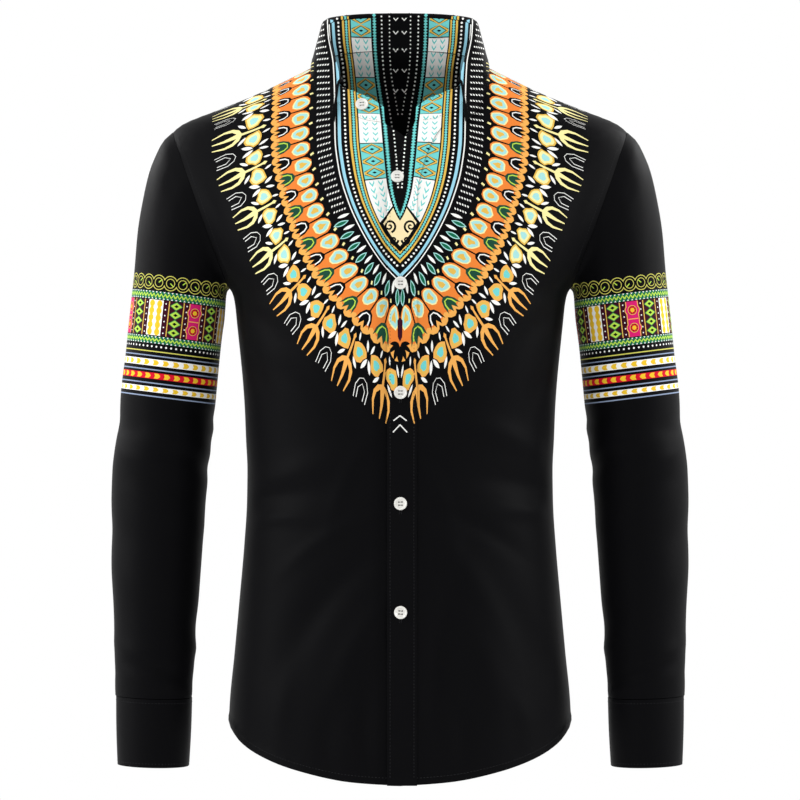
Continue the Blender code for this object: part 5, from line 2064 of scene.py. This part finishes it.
    def build_collar(self) -> None:
        """Make the collar's stand and leaf."""
        ring = CollarRing(self.torso)
        stand = StandForm(ring)
        wide, high = stand.columns[-1], stand.rows[-1]
        across, outline = np.linspace(-wide, wide, 190), rectangle(-wide, wide, high, 190, 12)
        facing = stand.normals[..., 1]
        shown = np.abs(stand.points[..., 0]) < 67
        prints = {Skin.OUTSIDE: to_flat(stand, self.chest, (facing < -0.25) & shown),
            Skin.INSIDE: to_flat(stand, self.lining, facing > 0.12)}
        made = self.declare(Piece.STAND,
            Sheet("collar_stand_cloth", stand, outline, self.collar_cloth, 2.6, prints=prints))
        for at in (2.6, high - 2.6):
            line = np.array([(a, at) for a in across[3:-3]])
            self.black_thread.line(stand, line, 0.0)
        leaf_form = LeafForm(ring, self.torso)
        wide, high = leaf_form.columns[-1], leaf_form.rows[-1]
        across, outline = np.linspace(-wide, wide, 190), rectangle(-wide, wide, high, 190, 18)
        facing = (leaf_form.normals[..., 1] < -0.12) & (np.arange(len(leaf_form.rows)) < 40)[:, None]
        # Painted shade: a black strip 3 to 4 mm wide covers the print at each end of the leaf, standing in
        # for the shade at the leaf's front edges.
        ends = [Patch(shape((side * wide, -1), (side * (wide - 4), -1), (side * (wide - 3), high + 1),
            (side * wide, high + 1)), Dye.BLACK) for side in (-1, 1)]
        prints = {Skin.OUTSIDE: to_flat(leaf_form, self.chest, facing) + self.leaf_print(leaf_form, facing)
            + ends}
        sheet = Sheet("collar_leaf_cloth", leaf_form, outline, self.collar_cloth, 2.6, prints=prints)
        self.declare(Piece.LEAF, sheet)
        path = np.array([(-wide + 5, high * 0.8), (-wide + 5, 5)] + [(a, 5.0) for a in across[4:-4]]
            + [(wide - 5, 5), (wide - 5, high * 0.8)])
        self.black_thread.line(leaf_form, path, 0.0)

    def leaf_print(self, form: ClothForm, facing: Points) -> list[Patch]:
        """Carry the rays and stripes round the back of the collar leaf.

        Args:
            form: the leaf.
            facing: which of its grid points the front view's print covers.

        Returns:
            The patches.
        """
        free = form.columns[~facing[:30].any(0)]
        free = free[np.abs(free) < np.abs(form.columns[facing[:30].any(0)]).min() + 1]
        first, last = free.min() + 1, free.max() - 1
        count = round((last - first) / 6.4)
        found = []
        for number in range(count):
            x = first + (number + 0.5) / count * (last - first)
            for bead in range(5):
                low = 8.0 + 2.3 * bead
                found.append(Patch(shape((x - 1.1, low), (x + 0.6, low + 0.3), (x + 1.1, low + 1.9),
                    (x - 0.6, low + 1.6)), Dye.WHITE))
        ends = np.linspace(first, last, 60)
        for low, high, dye in ((25.0, 26.6, Dye.WHITE), (32.0, 35.0, Dye.LIGHT_BLUE),
                (44.0, 46.0, Dye.OCHRE)):
            found += [Patch(shape((a, low), (b, low), (b, high), (a, high)), dye)
                for a, b in pairwise(ends)]
        for x in np.arange(first + 2, last, 4.1):
            found.append(Patch(oval(x, 39.6, 1.15, 1.15, 8), Dye.WHITE))
        return found

    def finish_buttons(self) -> None:
        """Give the buttons their resin and sew each on with two pairs of threads."""
        resin = PolishedResin().material()
        names = [f"button_{i + 1}" for i in range(5)] + ["button_collar", "button_cuff_left",
            "button_cuff_right"]
        for name in names:
            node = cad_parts[name]
            node.data.materials.clear()
            node.data.materials.append(resin)
            corners = np.array([node.matrix_world @ v.co for v in node.data.vertices]) / MM
            middle = corners.mean(0)
            axis_x = {"button_cuff_left": CUFF_MIDDLE_X, "button_cuff_right": -CUFF_MIDDLE_X}.get(name, 0.0)
            normal = np.linalg.svd(corners - middle)[2][2]
            away = middle - np.array([axis_x, CUFF_MIDDLE_Y if axis_x else 0.0, middle[2]])
            normal = normal if normal @ away > 0 else -normal
            turn = np.array(Vector((0, 0, 1)).rotation_difference(Vector(normal)).to_matrix())
            dish = middle + normal * (((corners - middle) @ normal).max() - 0.55)
            for sign in (-1, 1):
                start = dish + turn @ np.array([-2.0, sign * 1.55, 0.0])
                end = dish + turn @ np.array([2.0, sign * 1.55, 0.0])
                self.button_thread.bar(start, end, normal, 0.6, 0.3)

    def build(self) -> None:
        """Make the whole garment."""
        self.build_fronts()
        self.build_back()
        self.build_sleeves()
        self.build_collar()
        self.finish_buttons()
        self.black_thread.build()
        self.button_thread.build()


@dataclass
class Studio:
    """A white photo studio with soft lights."""

    distance: float = 4.0
    lens: float = 176.0
    aim_z: float = -0.3346
    floor_z: float = -1.5

    def light(self, name: str, place: tuple[float, float, float], size: float, power: float) -> None:
        """Hang a soft light aimed at the middle of the shirt.

        Args:
            name: its name.
            place: where it hangs.
            size: its width.
            power: its power in watts.
        """
        lamp = bpy.data.lights.new(name, "AREA")
        lamp.shape, lamp.size, lamp.energy = "DISK", size, power
        hung = bpy.data.objects.new(name, lamp)
        bpy.context.scene.collection.objects.link(hung)
        hung.location = place
        hung.rotation_euler = (Vector((0, 0, self.aim_z)) - Vector(place)).to_track_quat("-Z", "Y").to_euler()

    def build(self) -> None:
        """Make the world, the floor, the lights and the camera."""
        scene = bpy.context.scene
        world = bpy.data.worlds.new("white_studio")
        world.use_nodes = True
        world.node_tree.nodes["Background"].inputs["Color"].default_value = (1, 1, 1, 1)
        world.node_tree.nodes["Background"].inputs["Strength"].default_value = 1.0
        scene.world = world
        scene.view_settings.view_transform = "Standard"
        bpy.ops.mesh.primitive_plane_add(size=3.0, location=(0, 0, self.floor_z))
        floor = bpy.context.active_object
        floor.name = "studio_floor"
        floor.data.materials.append(start_material("matt_white_floor_paint", (0.86, 0.86, 0.86, 1),
            {"Roughness": 0.9}))
        self.light("key_light", (-2.0, -1.6, 2.2), 0.5, 35.0)
        self.light("side_light_left", (-2.8, -0.5, 0.2), 0.5, 40.0)
        self.light("side_light_right", (2.8, -0.3, 0.5), 0.5, 45.0)
        self.light("rim_light_left", (-2.2, 1.6, 0.9), 0.5, 35.0)
        self.light("rim_light_right", (2.2, 1.6, 1.2), 0.5, 50.0)
        camera = bpy.data.objects.new("camera", bpy.data.cameras.new("camera"))
        scene.collection.objects.link(camera)
        camera.data.lens = self.lens
        camera.location = (0, -self.distance, self.aim_z)
        camera.rotation_euler = (pi / 2, 0, 0)
        camera.data.clip_end = 50
        scene.camera = camera


def main() -> None:
    """Build the shirt and its studio."""
    logging.basicConfig(level=logging.INFO, format="%(message)s")
    Shirt().build()
    Studio().build()


if __name__ == "__main__":
    main()
